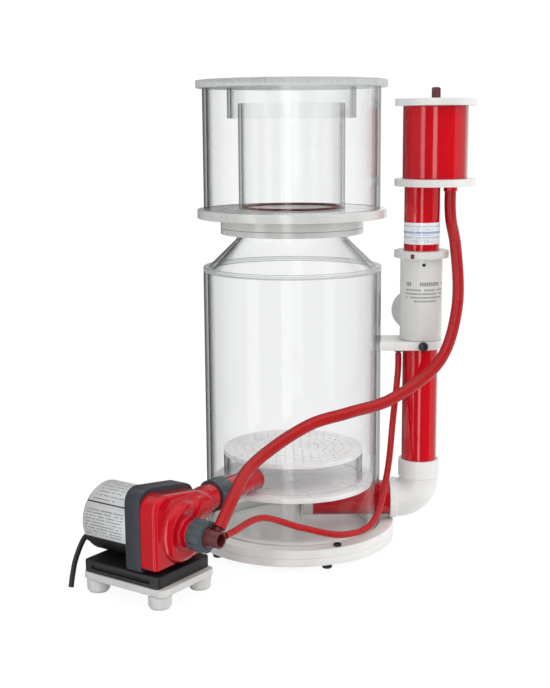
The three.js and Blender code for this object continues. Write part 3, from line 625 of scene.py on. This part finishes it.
# Rows of printed bars: middle height, half height, start and end along the arc, length of a word.
SLEEVE_PRINT = [
    (375.2, 2.6, -26.0, 33.0, 6.0),
    (366.8, 1.2, -27.0, 33.0, 3.4),
    (361.6, 1.2, -27.0, 33.0, 3.4),
    (356.4, 1.2, -27.0, 31.0, 3.4),
    (351.2, 1.2, -14.0, 20.0, 3.4),
]
SLEEVE_MARK = [(414.5, 3.2, -15.4, -11.2, 200.0)]

# The venturi's two hose inlets, in the pump's frame: place along the shaft and lean towards the tube.
AIR_INLET = (108.5, radians(43))
LINE_INLET = (114.5, radians(88))

# The outlet column: the elbow's bend, the bracket's half width, the sleeve's flange and rear branch.
BEND_R = 30.0
BRACKET_HALF = 30.0
FLANGE_R, FLANGE_T = 38.5, 10.0
BRANCH_Z, BRANCH_TURN = 325.0, radians(4)

# The sieve plate: its holes, the rings that they stand on, and the step from one ring to the next.
SIEVE_HOLE_R, SIEVE_ROWS, SIEVE_PITCH = 2.0, 7, 12.0

# The pump head, in the pump's frame: width, foot, top and the front face of its casing.
VOLUTE_W, VOLUTE_Z, VOLUTE_TOP, VOLUTE_FACE = 106.0, 48.0, 144.0, 58.0
MELT_VOXEL, MELT_ROUNDS = 0.75, 9  # how fine and how soft it is blended

WHITE = (0.80, 0.80, 0.785)
# Painted shade: a darker copy of WHITE, for the printed sleeve and the pump's stand.
SHADED_WHITE = (0.68, 0.68, 0.665)
DEEP_RED = (0.62, 0.002, 0.010)
# Painted shade for the sides of the red acrylic tubes.
RED_SIDE_SHADE = (0.12, 0.003, 0.008)
BODY_RED = (0.57, 0.003, 0.012)

# Round walls get painted shade: dark bands at their sides, standing in for dark surroundings seen through a
# thick edge. Flat sheet stays clear at a slant.
WALL_EDGES = [(0.0, 0.99), (0.62, 0.97), (0.70, 0.77), (0.80, 0.49), (0.92, 0.23), (1.0, 0.11)]
BODY_EDGES = [(0.0, 0.97), (0.62, 0.95), *WALL_EDGES[2:]]
SHEET_EDGES = [(0.0, 0.985), (0.6, 0.95), (0.85, 0.86), (1.0, 0.6)]
NECK_EDGES = [(0.0, 0.992), (0.62, 0.98), (0.70, 0.84), (0.80, 0.64), (0.92, 0.42), (1.0, 0.28)]
clear = clear_acrylic("clear_acrylic", WALL_EDGES)
clear_body = clear_acrylic("clear_body", BODY_EDGES)
clear_neck = clear_acrylic("clear_neck", NECK_EDGES)
clear_sheet = clear_acrylic("clear_sheet", SHEET_EDGES, 0.25)
sawn = cut_acrylic()
# The frame's own materials hold some of these names, so Blender adds a number after a dot.
LOOKS = {look.name.split(".")[0]: look for look in (
    clear,
    red_tube("red_acrylic", DEEP_RED, RED_SIDE_SHADE),
    # The hose's second colour is painted shade for its sides.
    hose_look("red_hose", (0.44, 0.004, 0.007), (0.10, 0.001, 0.003)),
    moulded("white_pvc", WHITE, 0.36, 0.00003, soft=0.08, wear=0.3),
    moulded("dark_red_plastic", (0.11, 0.006, 0.012), 0.3, 0.00004, coat=0.4, wear=0.4),
    moulded("black_plastic", (0.014, 0.014, 0.016), 0.42, 0.00006, wear=0.5),
    moulded("slate_plastic", (0.02315, 0.02956, 0.03955), 0.42, 0.00006, wear=0.5, coat=0.15),
    moulded("green_grey_plastic", (0.04092, 0.05951, 0.06848), 0.4, 0.00006, wear=0.5),
    rubber("black_rubber", (0.016, 0.016, 0.017)),
    rubber("seal_rubber", (0.10, 0.02, 0.015)),
    ground_metal("steel", (0.55, 0.56, 0.58), 0.28, 900.0),
    ground_metal("copper", (0.50, 0.19, 0.08), 0.4, 1400.0),
)}
LOOKS["silver_label"] = silver_film()
LOOKS["paper_label"] = label_film()
# Painted light: a whiter white for the pieces inside the reaction tube, lightened to make up for the light
# that the clear walls hold back.
lit_white_sheet = moulded("lit_white_sheet", (0.93, 0.93, 0.925), 0.3, 0.00002, coat=0.2, soft=0.15)
collar_white = moulded("collar_white", (0.66, 0.67, 0.65), 0.25, 0.00002, coat=0.5)
printed = printed_sleeve()
# The pump's stand is white with painted shade.
stand_shaded_white = moulded("stand_shaded_white", SHADED_WHITE, 0.36, 0.00003, soft=0.08, wear=0.3)
# The pump head's second colour is painted shade for its sides.
body_red = red_tube("body_red", BODY_RED, (0.10, 0.002, 0.008), ripple=0.000012, coat=0.7, rough=0.16)


# ---- Making pieces ----


def placed(data, name="made"):
    """An object in the scene that shows a mesh, curve, light or camera."""
    made = bpy.data.objects.new(name, data)
    bpy.context.scene.collection.objects.link(made)
    return made


def face_out(mesh, weld=0.0):
    """An object of a mesh with its faces turned out, after joining corners closer than weld metres."""
    work = bmesh.new()
    work.from_mesh(mesh)
    if weld:
        bmesh.ops.remove_doubles(work, verts=work.verts, dist=weld)
    bmesh.ops.recalc_face_normals(work, faces=work.faces)
    work.to_mesh(mesh)
    work.free()
    return placed(mesh)


def solid(skin, place=Matrix()):
    """A mesh object, in metres, from a skin in mm."""
    corners, faces = skin
    to_world = TO_METRES @ place
    mesh = bpy.data.meshes.new("skin")
    mesh.from_pydata([to_world @ Vector(c) for c in corners], [], faces)
    return face_out(mesh)


def result(made):
    """The mesh that an object shows once its modifiers or its curve are worked out."""
    bpy.context.view_layer.update()
    graph = bpy.context.evaluated_depsgraph_get()
    return bpy.data.meshes.new_from_object(made.evaluated_get(graph))


def bake(made):
    """Puts the modifiers' result into the mesh."""
    mesh = result(made)
    made.modifiers.clear()
    made.data = mesh
    return made


def combine(made, operation, others):
    for other in others:
        step = made.modifiers.new(operation.lower(), "BOOLEAN")
        step.operation = operation
        step.solver = "EXACT"
        step.object = other
    bake(made)
    for other in others:
        bpy.data.objects.remove(other)
    return made


def join(made, *others):
    return combine(made, "UNION", others)


def cut(made, *tools):
    return combine(made, "DIFFERENCE", tools)


def drill(r, z0, z1, place, sides=SMALL):
    """A plain rod to cut a hole with."""
    return solid(disc(r, z0, z1, sides, 0), place)


def bevel(made, width, segments=3, angle=35):
    step = made.modifiers.new("bevel", "BEVEL")
    step.width = width / 1000
    step.segments = segments
    step.limit_method = "ANGLE"
    step.angle_limit = radians(angle)
    step.use_clamp_overlap = True
    return bake(made)


def melt(made):
    """Blends joined shapes into one moulded body with soft inside corners."""
    skin = made.modifiers.new("remesh", "REMESH")
    skin.mode = "VOXEL"
    skin.voxel_size = MELT_VOXEL / 1000
    smooth = made.modifiers.new("smooth", "SMOOTH")
    smooth.factor = 0.5
    smooth.iterations = MELT_ROUNDS
    return bake(made)


def finish(made, node, look=None, sharp=32):
    """Gives a mesh its finish and its place in the object: it stands for a CAD node."""
    made.name = f"{node}_look"
    made.data.name = made.name
    made.data.materials.clear()
    made.data.materials.append(look or LOOKS[SLOT_OF[node]])
    made.data.shade_smooth()
    made.data.set_sharp_from_angle(angle=radians(sharp))
    made.visible_shadow = made.visible_diffuse = SLOT_OF[node] != "clear_acrylic"
    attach(made, frame["nodes"][node]["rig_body"])
    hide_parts(node)
    return made


def piece(node, skin, place=Matrix(), look=None, sharp=32):
    return finish(solid(skin, place), node, look, sharp)


def ring_piece(node, place, sides=MID, edge=0.7, look=None):
    """A ring or a pipe, as long and as thick as the CAD's."""
    z0, z1, r, r_in = span(node, place)
    return piece(node, tube(r_in, r, z0, z1, sides, edge), place, look)


def disc_piece(node, place, sides, edge, look=None):
    z0, z1, r, _ = span(node, place)
    return piece(node, disc(r, z0, z1, sides, edge), place, look)


def is_level(face):
    return abs(face.normal.z) > 0.9


def show_cuts(made, is_cut=is_level):
    """The faces where clear sheet or tube was sawn take the sawn finish."""
    made.data.materials.append(sawn)
    for face in made.data.polygons:
        if is_cut(face):
            face.material_index = 1


def shifted(place, points):
    return [tuple(place @ Vector(p)) for p in points]


# ---- Base ----


def base():
    disc_piece("base_plate", AXIS, ROUND, 1.2)
    z0, z1, r, r_in = span("tube_flange", AXIS)
    floor = TUBE_Z0 - GAP
    groove = [(TUBE_R + GAP, z1), (TUBE_R + GAP, floor), (TUBE_IN - GAP, floor), (TUBE_IN - GAP, z1)]
    ring = solid(lathe([(r_in, z0), (r, z0), (r, z1), *groove, (r_in, z1)], ROUND, 1.2), AXIS)
    screw_at = upright_axis("base_screw")
    low, high, head_r, _ = span("base_screw", screw_at)
    hole = drill(3.3, z0 - 1, z1 + 1, screw_at)
    finish(cut(ring, hole), "tube_flange")
    shank = [(3.0, low), (3.0, z1 + GAP), (head_r, z1 + GAP), (head_r, high)]
    screw = solid(rod(shank, SMALL, 0.5), screw_at)
    socket = drill(2.6, high - 2, high + 1, screw_at, 6)
    finish(cut(screw, socket), "base_screw")
    for node in [name for name in SLOT_OF if name.startswith("base_foot")]:
        place = upright_axis(node)
        low, high, r, _ = span(node, place)
        outline = [(r - 2.6, low + 0.8), (r - 2.2, low), (r - 1, low), (r, low + 1.4), (r, high)]
        piece(node, rod(outline, SMALL, 0.4), place)


# ---- Reaction tube, cone and collar ----


def outlet_place():
    centre = middle("outlet_pipe")
    return at(AXIS.translation.x, AXIS.translation.y, centre.z) @ ALONG_X


def reaction_tube():
    wall = solid(tube(TUBE_IN, TUBE_R, TUBE_Z0, TUBE_Z1, ROUND, 0.5), AXIS)
    outlet = drill(PIPE_R + GAP, 90, 140, outlet_place(), MID)
    _, pipe_high, pipe_r, _ = span("discharge_pipe", DISCHARGE)
    inlet = drill(pipe_r + GAP, pipe_high - 41, pipe_high - 11, DISCHARGE, MID)
    show_cuts(finish(cut(wall, outlet, inlet), "reaction_tube", clear_body))

    (z0, foot), (rim, shoulder), *_, (neck, waist), (top, mouth) = section("neck_cone", AXIS)
    outside = [(foot[-1], z0), (foot[-1], rim), (shoulder[0], rim), (waist[-1], neck), (mouth[-1], top)]
    inside = [(mouth[0], top), (waist[0], neck), (foot[0], z0)]
    cone = piece("neck_cone", lathe(outside + inside, ROUND, 0.6), AXIS)

    def on_rim(face):
        return abs(face.normal.z) < 0.1 and face.center.z < (rim + 1) / 1000

    show_cuts(cone, lambda face: is_level(face) or on_rim(face))

    ring_piece("neck_flange", AXIS, WIDE, 0.8, collar_white)


def collar_and_cup():
    z0, z1, r, r_in = span("bayonet_ring", AXIS)
    band = solid(tube(r_in, r, z0, z1, WIDE, 0.9), AXIS)
    thumbs = []
    for x in (r + 3, -r - 3):
        thumbs.append(solid(disc(6, z0 + 3, z1 + 1, SMALL, 0.6), AXIS @ at(x, 0)))
    finish(cut(band, *thumbs), "bayonet_ring", collar_white)

    ring_piece("cup_floor", AXIS, ROUND, 1.0, collar_white)
    for node, look in (("foam_neck", clear_neck), ("cup_tube", clear), ("lid_skirt", clear_neck)):
        show_cuts(ring_piece(node, AXIS, WIDE, 0.5, look))
    lid = disc_piece("cup_lid", AXIS, ROUND, 0.7, clear_sheet)
    show_cuts(lid, lambda face: abs(face.normal.z) < 0.5)
    z0, z1, r, r_in = span("neck_o_ring", AXIS)
    cord = (r - r_in) / 2
    rings = []
    for x, y, _ in circle(1.0, 0, 16):
        rings.append(circle((r + r_in) / 2 + cord * x, (z0 + z1) / 2 + (z1 - z0) / 2 * y, FINE))
    piece("neck_o_ring", loft(rings, closed=True), AXIS)


# ---- Bubble plate ----


def perforated(outlines, place, z0, z1):
    """A flat plate with holes, from a filled curve. The first outline is the plate's rim."""
    curve = bpy.data.curves.new("plate", "CURVE")
    curve.dimensions = "2D"
    curve.fill_mode = "BOTH"
    curve.extrude = (z1 - z0) / 2000
    for points in outlines:
        spline = curve.splines.new("POLY")
        spline.points.add(len(points) - 1)
        for corner, (x, y, _) in zip(spline.points, points):
            corner.co = (x / 1000, y / 1000, 0, 1)
        spline.use_cyclic_u = True
    filled = placed(curve)
    mesh = result(filled)
    bpy.data.objects.remove(filled)
    centre = place.translation + Vector((0, 0, (z0 + z1) / 2))
    mesh.transform(Matrix.Translation(centre / 1000))
    return face_out(mesh, WELD)


def bubble_plate():
    disc_piece("support_post", AXIS, MID, 0.5, lit_white_sheet)
    disc_piece("bubble_disc", AXIS, WIDE, 1.2, lit_white_sheet)

    z0, z1, r, r_in = span("bubble_chamber", AXIS)
    wall = solid(tube(r_in, r, z0, z1, WIDE, 0.5), AXIS)
    _, pipe_high, pipe_r, _ = span("discharge_pipe", DISCHARGE)
    inlet = drill(pipe_r + GAP, pipe_high - 16, pipe_high + 14, DISCHARGE, MID)
    show_cuts(finish(cut(wall, inlet), "bubble_chamber"))

    z0, z1, r, _ = span("bubble_sieve", AXIS)
    hole = circle(SIEVE_HOLE_R, 0, 12)
    outlines = [circle(r, 0, FINE), hole]
    for row in range(1, SIEVE_ROWS + 1):
        count = row * 6
        for x, y, _ in circle(row * SIEVE_PITCH, 0, count, row / 2):
            outlines.append([(x + dx, y + dy, 0) for dx, dy, _ in hole])
    finish(perforated(outlines, AXIS, z0, z1), "bubble_sieve", lit_white_sheet)


# ---- Outlet column ----


def prism(outline, z0, z1):
    return loft([[(x, y, z) for x, y in outline] for z in (z0, z1)])


def outlet_pipes():
    run = outlet_place()
    ring_piece("outlet_pipe", run)
    ring_piece("outlet_collar", run)
    ring_piece("riser_pipe", COLUMN)

    level = middle("outlet_pipe").z
    x0 = span("outlet_elbow", run)[0]
    top = span("outlet_elbow", COLUMN)[1]
    bend_x, bend_z = COLUMN_X - BEND_R, level + BEND_R
    waist, bore = SLEEVE_R - 1.7, PIPE_R + GAP
    mouth = ((0, SLEEVE_R - 0.8), (0.8, SLEEVE_R))
    stations = [(x0 + inset, level, out, bore) for inset, out in mouth]
    stations += [(bend_x - 4, level, SLEEVE_R, bore), (bend_x - 2.5, level, waist, bore)]
    for k in range(25):
        angle = (k / 24 - 1) * pi / 2
        x, z = bend_x + BEND_R * cos(angle), bend_z + BEND_R * sin(angle)
        stations.append((x, z, waist, PIPE_IN if 3 <= k <= 21 else bore))
    stations += [(COLUMN_X, bend_z + 2.5, waist, bore), (COLUMN_X, bend_z + 4, SLEEVE_R, bore)]
    stations += [(COLUMN_X, top - inset, out, bore) for inset, out in reversed(mouth)]
    path = [(x, 0, z) for x, z, _, _ in stations]
    outer = [out for _, _, out, _ in stations]
    inner = [inside for _, _, _, inside in stations]
    piece("outlet_elbow", sweep(path, outer, inner, MID), AXIS, sharp=40)


def bracket():
    z0, z1, _, _ = span("pipe_bracket", AXIS)
    _, high = room("pipe_bracket", AXIS)
    seat = TUBE_R + GAP
    eye = high.x - COLUMN_X
    half = min(high.y, BRACKET_HALF)
    seat_turn, eye_turn = asin(half / seat), asin(half / eye)
    outline = arc_points(0, 0, seat, seat_turn, -seat_turn, 20)
    outline += arc_points(COLUMN_X, 0, eye, eye_turn - pi, pi - eye_turn, 60)
    plate = solid(prism(outline, z0, z1), AXIS)
    bore = drill(PIPE_R + GAP, z0 - 1, z1 + 1, COLUMN, MID)
    plate = cut(plate, bore)
    across = COLUMN @ at(0, 0, (z0 + z1) / 2) @ FORWARD
    hole = drill(2.8, PIPE_R + 2, 40, across, 24)
    finish(bevel(cut(plate, hole), 1.0), "pipe_bracket")

    tip, end, knob_r, _ = span("clamp_screw", across)
    start = eye + GAP
    shank = [circle(2.5, tip, SMALL * 2), circle(2.5, start, SMALL * 2)]
    levels = [(knob_r - 1, start, 0.3), (knob_r, start + 0.8, 1), (knob_r, end - 1.6, 1)]
    levels += [(knob_r - 0.6, end - 0.5, 0.7), (knob_r - 1.7, end, 0.2)]
    piece("clamp_screw", loft(shank + ribbed(levels, 12, 1.0, SMALL * 2)), across, sharp=40)


def level_body():
    z0, top, _, _ = span("level_body", COLUMN)
    flange_z = top - FLANGE_T
    sleeve = [(SLEEVE_R, z0), (SLEEVE_R, flange_z), (FLANGE_R, flange_z), (FLANGE_R, top)]
    body = solid(rod(sleeve, FINE, 1.0), COLUMN)
    across = COLUMN @ Matrix.Rotation(BRANCH_TURN, 4, "Z") @ at(0, 0, BRANCH_Z) @ ALONG_Y
    reach = span("level_body", across)[1]
    branch = solid(disc(SLEEVE_R, 0, reach, FINE, 1.0), across)
    join(body, branch)
    bore = drill(PIPE_R + GAP, z0 - 1, top + 1, COLUMN, FINE)
    side_bore = drill(PIPE_R, 0, reach + 1, across, FINE)
    lock = COLUMN @ at(0, 0, middle("level_lock_screw").z) @ FORWARD
    low, high, r, _ = span("level_lock_screw", lock)
    hole = drill(r + GAP, low - 5, high + 8, lock)
    finish(cut(body, bore, side_bore, hole), "level_body", printed)
    screw = solid(disc(r, low, high, SMALL, 0.3), lock)
    socket = drill(1.1, high - 1.6, high + 1, lock, 6)
    finish(cut(screw, socket), "level_lock_screw")


def level_pipe():
    """The level pipe, its foot cut on a slant that is low towards the reaction tube."""
    points = points_of("level_pipe", COLUMN)
    near = min(p.z for p in points if p.x < 5 - PIPE_R)
    far = min(p.z for p in points if p.x > PIPE_R - 5)

    def slanted(r):
        slope = (far - near) / (2 * PIPE_R)
        return [(x, y, near + (x + PIPE_R) * slope) for x, y, _ in circle(r, 0, FINE)]

    top = PIPE_Z1
    rings = [slanted(PIPE_IN), slanted(PIPE_R)]
    rings += [circle(r, z, FINE) for r, z in ((PIPE_R, top - 0.6), (PIPE_R - 0.6, top), (PIPE_IN, top))]
    piece("level_pipe", loft(rings, closed=True), COLUMN)

    z0, z1, r, r_in = span("level_label", COLUMN)
    piece("level_label", arc_shell(r_in, r, z0, z1, radians(-175), radians(-15)), COLUMN)


def silencer():
    z0, z1, r, _ = span("silencer_base", SILENCER)
    plate = solid(disc(r, z0, z1, FINE, 1.0), SILENCER)
    hole = drill(PIPE_R + GAP, z0 - 1, z1 + 1, COLUMN, MID)
    nozzle_at = upright_axis("silencer_nozzle")
    air = drill(4.0, z0 - 1, z1 + 1, nozzle_at)
    finish(cut(plate, hole, air), "silencer_base")
    ring_piece("silencer_tube", SILENCER, FINE, 0.6)

    _, seat, _, r_in = span("silencer_tube", SILENCER)
    seat += GAP
    low, high, r, _ = span("silencer_lid", SILENCER)
    lid = [(r_in - GAP, low), (r_in - GAP, seat), (r, seat), (r, high)]
    plate = solid(rod(lid, FINE, 1.0), SILENCER)
    hole = drill(3.3, low - 1, high + 1, SILENCER)
    finish(cut(plate, hole), "silencer_lid")

    foot, top, knob_r, _ = span("air_screw", SILENCER)
    start = high + GAP
    sides = 96
    rings = [circle(1.6, foot, sides), circle(3.0, foot + 2, sides), circle(3.0, start, sides)]
    levels = [(knob_r - 0.8, start, 0), (knob_r, start + 0.8, 1), (knob_r, top - 2.0, 1)]
    levels += [(knob_r - 0.7, top - 0.8, 0.4), (knob_r - 2.2, top, 0)]
    piece("air_screw", loft(rings + ribbed(levels, 16, 0.7, sides)), SILENCER, sharp=40)

    tip, seat, shoulder_r, bore = span("silencer_nozzle", nozzle_at)
    barb = [(bore, tip), (4.2, tip), (5.3, tip + 3), (4.5, tip + 3.4), (5.3, tip + 6.6), (4.5, tip + 7)]
    shoulder = [(4.5, seat - 7.7), (shoulder_r, seat - 7.7), (shoulder_r, seat), (bore, seat)]
    piece("silencer_nozzle", lathe(barb + shoulder, SMALL, 0.25), nozzle_at)


# ---- Pump ----


def pump_stand():
    for node in [name for name in SLOT_OF if name.startswith("pump_foot")]:
        place = upright_axis(node)
        low, high, r, _ = span(node, place)
        sole = [(r - 2.5, low), (r - 2.0, low + 2.5), (r - 0.2, low + 3.4)]
        piece(node, rod([*sole, (r, high - 3), (r - 1.2, high)], MID, 0.7), place, stand_shaded_white)
    low, high = room("pump_plate", PUMP)
    piece("pump_plate", block(low, high, 10, 1.0), PUMP, stand_shaded_white)
    low, high = room("pump_cradle", PUMP)
    slab = solid(block(low, high, 6, 1.6), PUMP)
    slot = block((low.x + 14, -4.5, low.z + 5), (high.x - 14, 4.5, high.z - 5), 2, 1)
    slots = [solid(slot, PUMP @ at(0, side * (high.y + 0.5))) for side in (1, -1)]
    finish(cut(slab, *slots), "pump_cradle")


def head_outline(low, high):
    """The pump head's outline: flat foot, round shoulders, and a top that drops towards the tube."""
    left, right, z0, top = low.y, high.y, low.z, high.z
    points = bend((right - 8, z0), (right, z0), (right, z0 + 8))
    points += bend((right, top - 34), (right, top - 12), (right - 24, top - 9))
    points += bend((left + 22, top), (left, top), (left, top - 22))
    points += bend((left, z0 + 8), (left, z0), (left + 8, z0))
    return points


def motor():
    rear, front, r, _ = span("motor_can", SHAFT)
    wall = 3.0
    cap = [(0, rear + 2.2), (18, rear + 2.2), (20, rear + 0.6), (30, rear + 0.6), (31.5, rear)]
    outside = [(r - 5.5, rear), (r - 1.6, rear + 1.6), (r, rear + 5.5), (r, front)]
    inside = [(r - wall, front), (r - wall, rear + 5.2), (0, rear + 5.2)]
    profile = soften([*cap, *outside, *inside], 0.8, False)
    rings = [circle(max(x, 0.02), z, FINE) for x, z in profile]
    piece("motor_can", loft(rings), SHAFT)

    z0, z1, r, _ = span("motor_label", SHAFT)
    film = arc_shell(r - 0.5, r, z0, z1, radians(-20), radians(200), 140, 0.12)
    piece("motor_label", film, SHAFT)

    low, high = room("pump_flange", PUMP)
    body = solid(prism(head_outline(low, high), low.x, high.x), PUMP @ ALONG_X)
    bore = drill(9.3, low.x - 1, high.x + 1, SHAFT, MID)
    finish(bevel(cut(body, bore), 1.8, 4), "pump_flange")


def volute():
    back, tip = [corner.x for corner in room("volute", PUMP)]
    face = VOLUTE_FACE
    outline = head_outline(Vector((0, -VOLUTE_W / 2, VOLUTE_Z)), Vector((0, VOLUTE_W / 2, VOLUTE_TOP)))
    body = bevel(solid(prism(outline, back, face), PUMP @ ALONG_X), 5.0, 5)
    scroll = [(42, face - 8), (40, face + 2), (36.5, face + 7), (31, face + 9.6), (26.5, face + 8.6)]
    scroll += [(22.5, face + 7.4), (20, face + 8.2), (18.5, face + 11), (18.5, tip)]
    bulge = solid(rod(scroll, FINE, 1.5), SHAFT)
    rim_y = span("volute", DISCHARGE)[1]
    horn = solid(rod([(17, 18), (17, 52), (18, 60), (18, rim_y)], MID, 1.2), DISCHARGE)
    outer_horn = solid(rod([(16, 12), (19, 22), (19, 48), (14, 52)], MID, 3.0), DISCHARGE @ at(10, 1))
    join(body, bulge, horn, outer_horn)
    chamber = drill(34, back - 1, face - 2, SHAFT, FINE)
    suction = drill(13.3, face - 8, tip + 1, SHAFT, MID)
    outlet = drill(11, 30, rim_y + 1, DISCHARGE, MID)
    cut(body, chamber, suction, outlet)
    finish(melt(body), "volute", body_red, 60)


def union_nut(node, place, ribs=8):
    z0, z1, r, bore = span(node, place)
    sides = 144
    levels = [(r - 1.0, z0, 0.2), (r, z0 + 1.0, 0.5), (r, z0 + 3.0, 1.0), (r, z1 - 2.0, 1.0)]
    levels += [(r - 0.7, z1 - 0.6, 0.9), (r - 1.8, z1, 0.6)]
    rings = ribbed(levels, ribs, 1.7, sides, 3.0)
    rings += [circle(bore + 0.6, z1, sides), circle(bore, z1 - 0.6, sides)]
    rings += [circle(bore, z0 + 0.6, sides), circle(bore + 0.6, z0, sides)]
    piece(node, loft(rings, closed=True), place, sharp=40)


def spigot(x, tilt, r, end):
    """A barbed hose spigot leaning from the shaft's axis: a solid rod to be joined to the venturi."""
    lean = PUMP @ at(x, 0, shaft_at.z) @ Matrix.Rotation(-tilt, 4, "X")
    barbs = [(r, 0), (r, end - 9), (r * 1.08, end - 8.6), (r * 0.86, end - 5), (r * 1.08, end - 4.6)]
    return solid(rod([*barbs, (r * 0.8, end)], SMALL, 0.2), lean)


def pump_fittings():
    union_nut("inlet_nut", SHAFT)
    union_nut("discharge_nut", DISCHARGE)
    ring_piece("discharge_pipe", DISCHARGE, MID, 0.6)

    z0, z1, _, _ = span("inlet_venturi", SHAFT)
    r, bore = 13.0, 8.2
    step = span("inlet_nut", SHAFT)[1] + 1
    body = solid(rod([(r, z0), (r, step), (r - 2, step + 1), (r - 2, z1)], FINE, 0.8), SHAFT)
    join(body, spigot(*AIR_INLET, 5.0, 32.0), spigot(*LINE_INLET, 2.4, 28.0))
    hole = drill(bore, z0 - 1, z1 + 1, SHAFT, MID)
    finish(cut(body, hole), "inlet_venturi")


# ---- Hoses ----


def inlet_point(x, tilt, distance):
    return tuple(PUMP @ Vector((x, distance * sin(tilt), shaft_at.z + distance * cos(tilt))))


def hoses():
    route = shifted(AXIS, [
        (221, 0, 501.5), (221, 0, 482), (222, -4, 462), (226, -22, 430), (228, -36, 345),
        (203, -56, 273), (132, -98, 228), (72, -130, 217), (18, -150, 205), (-58, -192, 161),
    ])
    route += [inlet_point(*AIR_INLET, d) for d in (62, 36, 15)]
    piece("air_hose", sweep(smooth_route(route), 8.0, 6.0), sharp=60)
    route = [inlet_point(*LINE_INLET, d) for d in (15, 32)]
    route += shifted(AXIS, [
        (-44, -197, 94), (10, -162, 68), (66, -134, 49), (106, -101, 53), (130, -55, 105),
        (142, -24, 185), (150, -8, 254), (150, -8, 275),
    ])
    piece("air_line", sweep(smooth_route(route), 4.5, 3.2, 28), sharp=60)
    place = upright_axis("air_line_nozzle")
    z0, z1, r, _ = span("air_line_nozzle", place)
    profile = [(1.9, z0), (2.9, z0 + 3), (2.4, z0 + 3.3), (2.9, z0 + 6), (2.4, z0 + 6.4)]
    profile += [(2.4, z1 - 4.5), (r, z1 - 4.5), (r, z1)]
    piece("air_line_nozzle", rod(profile, SMALL, 0.2), place)

    route = [tuple(PUMP @ Vector(p)) for p in ((-75.8, -28, 64), (-84, -28, 63))]
    route += shifted(AXIS, [(-287, -190, 40), (-291, -202, 18), (-292, -208, 6)])
    path = smooth_route(route, 2.0)
    gland = [max(3.5, 5.2 - 0.35 * k) for k in range(len(path))]
    piece("power_cable", sweep(path, gland, sides=28), sharp=60)


def internals():
    """The pieces inside the pump keep their CAD shape and get a finish and soft edges."""
    for node in ("stator", "rotor_magnet", "rotor_shaft", "shaft_bearing", "impeller"):
        made = frame["nodes"][node]
        made.data.materials.clear()
        made.data.materials.append(LOOKS[SLOT_OF[node]])
        made.modifiers.new("weld", "WELD").merge_threshold = WELD
        soft = made.modifiers.new("soft_edges", "BEVEL")
        soft.width = 0.0003
        soft.segments = 2
        soft.angle_limit = radians(40)


base()
reaction_tube()
collar_and_cup()
bubble_plate()
outlet_pipes()
bracket()
level_body()
level_pipe()
silencer()
pump_stand()
motor()
volute()
pump_fittings()
hoses()
internals()


# ---- Studio ----


BACKDROP = 1.02

# Upright panels in the mirrored world: where each starts, in degrees round from the camera, and its light.
PANELS = [
    (-180, 0.12), (-106, 0.3), (-62, 2.6), (-46, 0.06), (-16, 3.2), (-2, 0.05), (62, 0.55), (120, 1.0),
]


def studio_floor():
    f = Finish("floor")
    body = {"Base Color": f.cloud(1.5, 3.0, 0.93, 0.95), "Roughness": 0.75, "Specular IOR Level": 0.1}
    shaded = f.node("ShaderNodeBsdfPrincipled", body)
    glow = f.node("ShaderNodeEmission", {"Strength": 1.03})
    share = f.times(f.node("ShaderNodeLightPath").outputs["Is Camera Ray"], 0.9)
    mesh = bpy.data.meshes.new("floor")
    mesh.from_pydata([(-30, -30, 0), (30, -30, 0), (30, 30, 0), (-30, 30, 0)], [], [(0, 1, 2, 3)])
    mesh.materials.append(f.surface(f.blend(share, shaded, glow)))
    floor = placed(mesh, "floor")
    floor.visible_glossy = False


def studio_light():
    """White to the camera and an even fill, but mirrored as bright and dark upright panels."""
    f = Finish("studio", world=True)
    x, y, z = f.axes()
    azimuth = f.math("ARCTAN2", x, f.times(y, -1.0))
    stops = [(degrees / 360 + 0.5, (light, light, light)) for degrees, light in PANELS]
    panels = f.ramp(f.math("ADD", f.math("DIVIDE", azimuth, TAU), 0.5), stops, "CONSTANT")
    height = {"Value": z, "From Min": 0.55, "From Max": 0.85}
    high = f.node("ShaderNodeMapRange", height, interpolation_type="SMOOTHSTEP").outputs[0]
    mirrored = f.mix(high, panels, (0.9, 0.9, 0.9))
    fill = f.math("ADD", f.times(x, 0.3), 0.95)
    rays = f.node("ShaderNodeLightPath").outputs
    unseen = f.mix(rays["Is Glossy Ray"], fill, mirrored)
    light = f.mix(rays["Is Camera Ray"], unseen, (BACKDROP, BACKDROP, BACKDROP))
    bpy.context.scene.world = f.surface(f.node("ShaderNodeBackground", {"Color": light}))

    key = bpy.data.lights.new("key", "SUN")
    key.energy = 0.7
    key.angle = radians(45)
    lamp = placed(key, "key")
    lamp.rotation_euler = Vector((0.55, -0.45, 0.9)).to_track_quat("Z", "Y").to_euler()
    lamp.visible_glossy = False


def studio_camera():
    """In front of the reaction tube and above it, with a slight turn, tip and roll."""
    turn, tip, roll = 0.001, 0.177, -0.007
    data = bpy.data.cameras.new("camera")
    data.lens = 64.03
    data.sensor_width = 36.0
    data.clip_end = 200.0
    camera = placed(data, "camera")
    place = AXIS @ Vector((-26.8, -1716.5, 594.5)) / 1000
    facing = Matrix.Rotation(-turn, 4, "Z") @ Matrix.Rotation(pi / 2 - tip, 4, "X")
    camera.matrix_world = Matrix.Translation(place) @ facing @ Matrix.Rotation(roll, 4, "Z")
    bpy.context.scene.camera = camera


studio_floor()
studio_light()
studio_camera()
scene = bpy.context.scene
scene.view_settings.view_transform = "Standard"
scene.cycles.transparent_max_bounces = 32
scene.cycles.max_bounces = 10
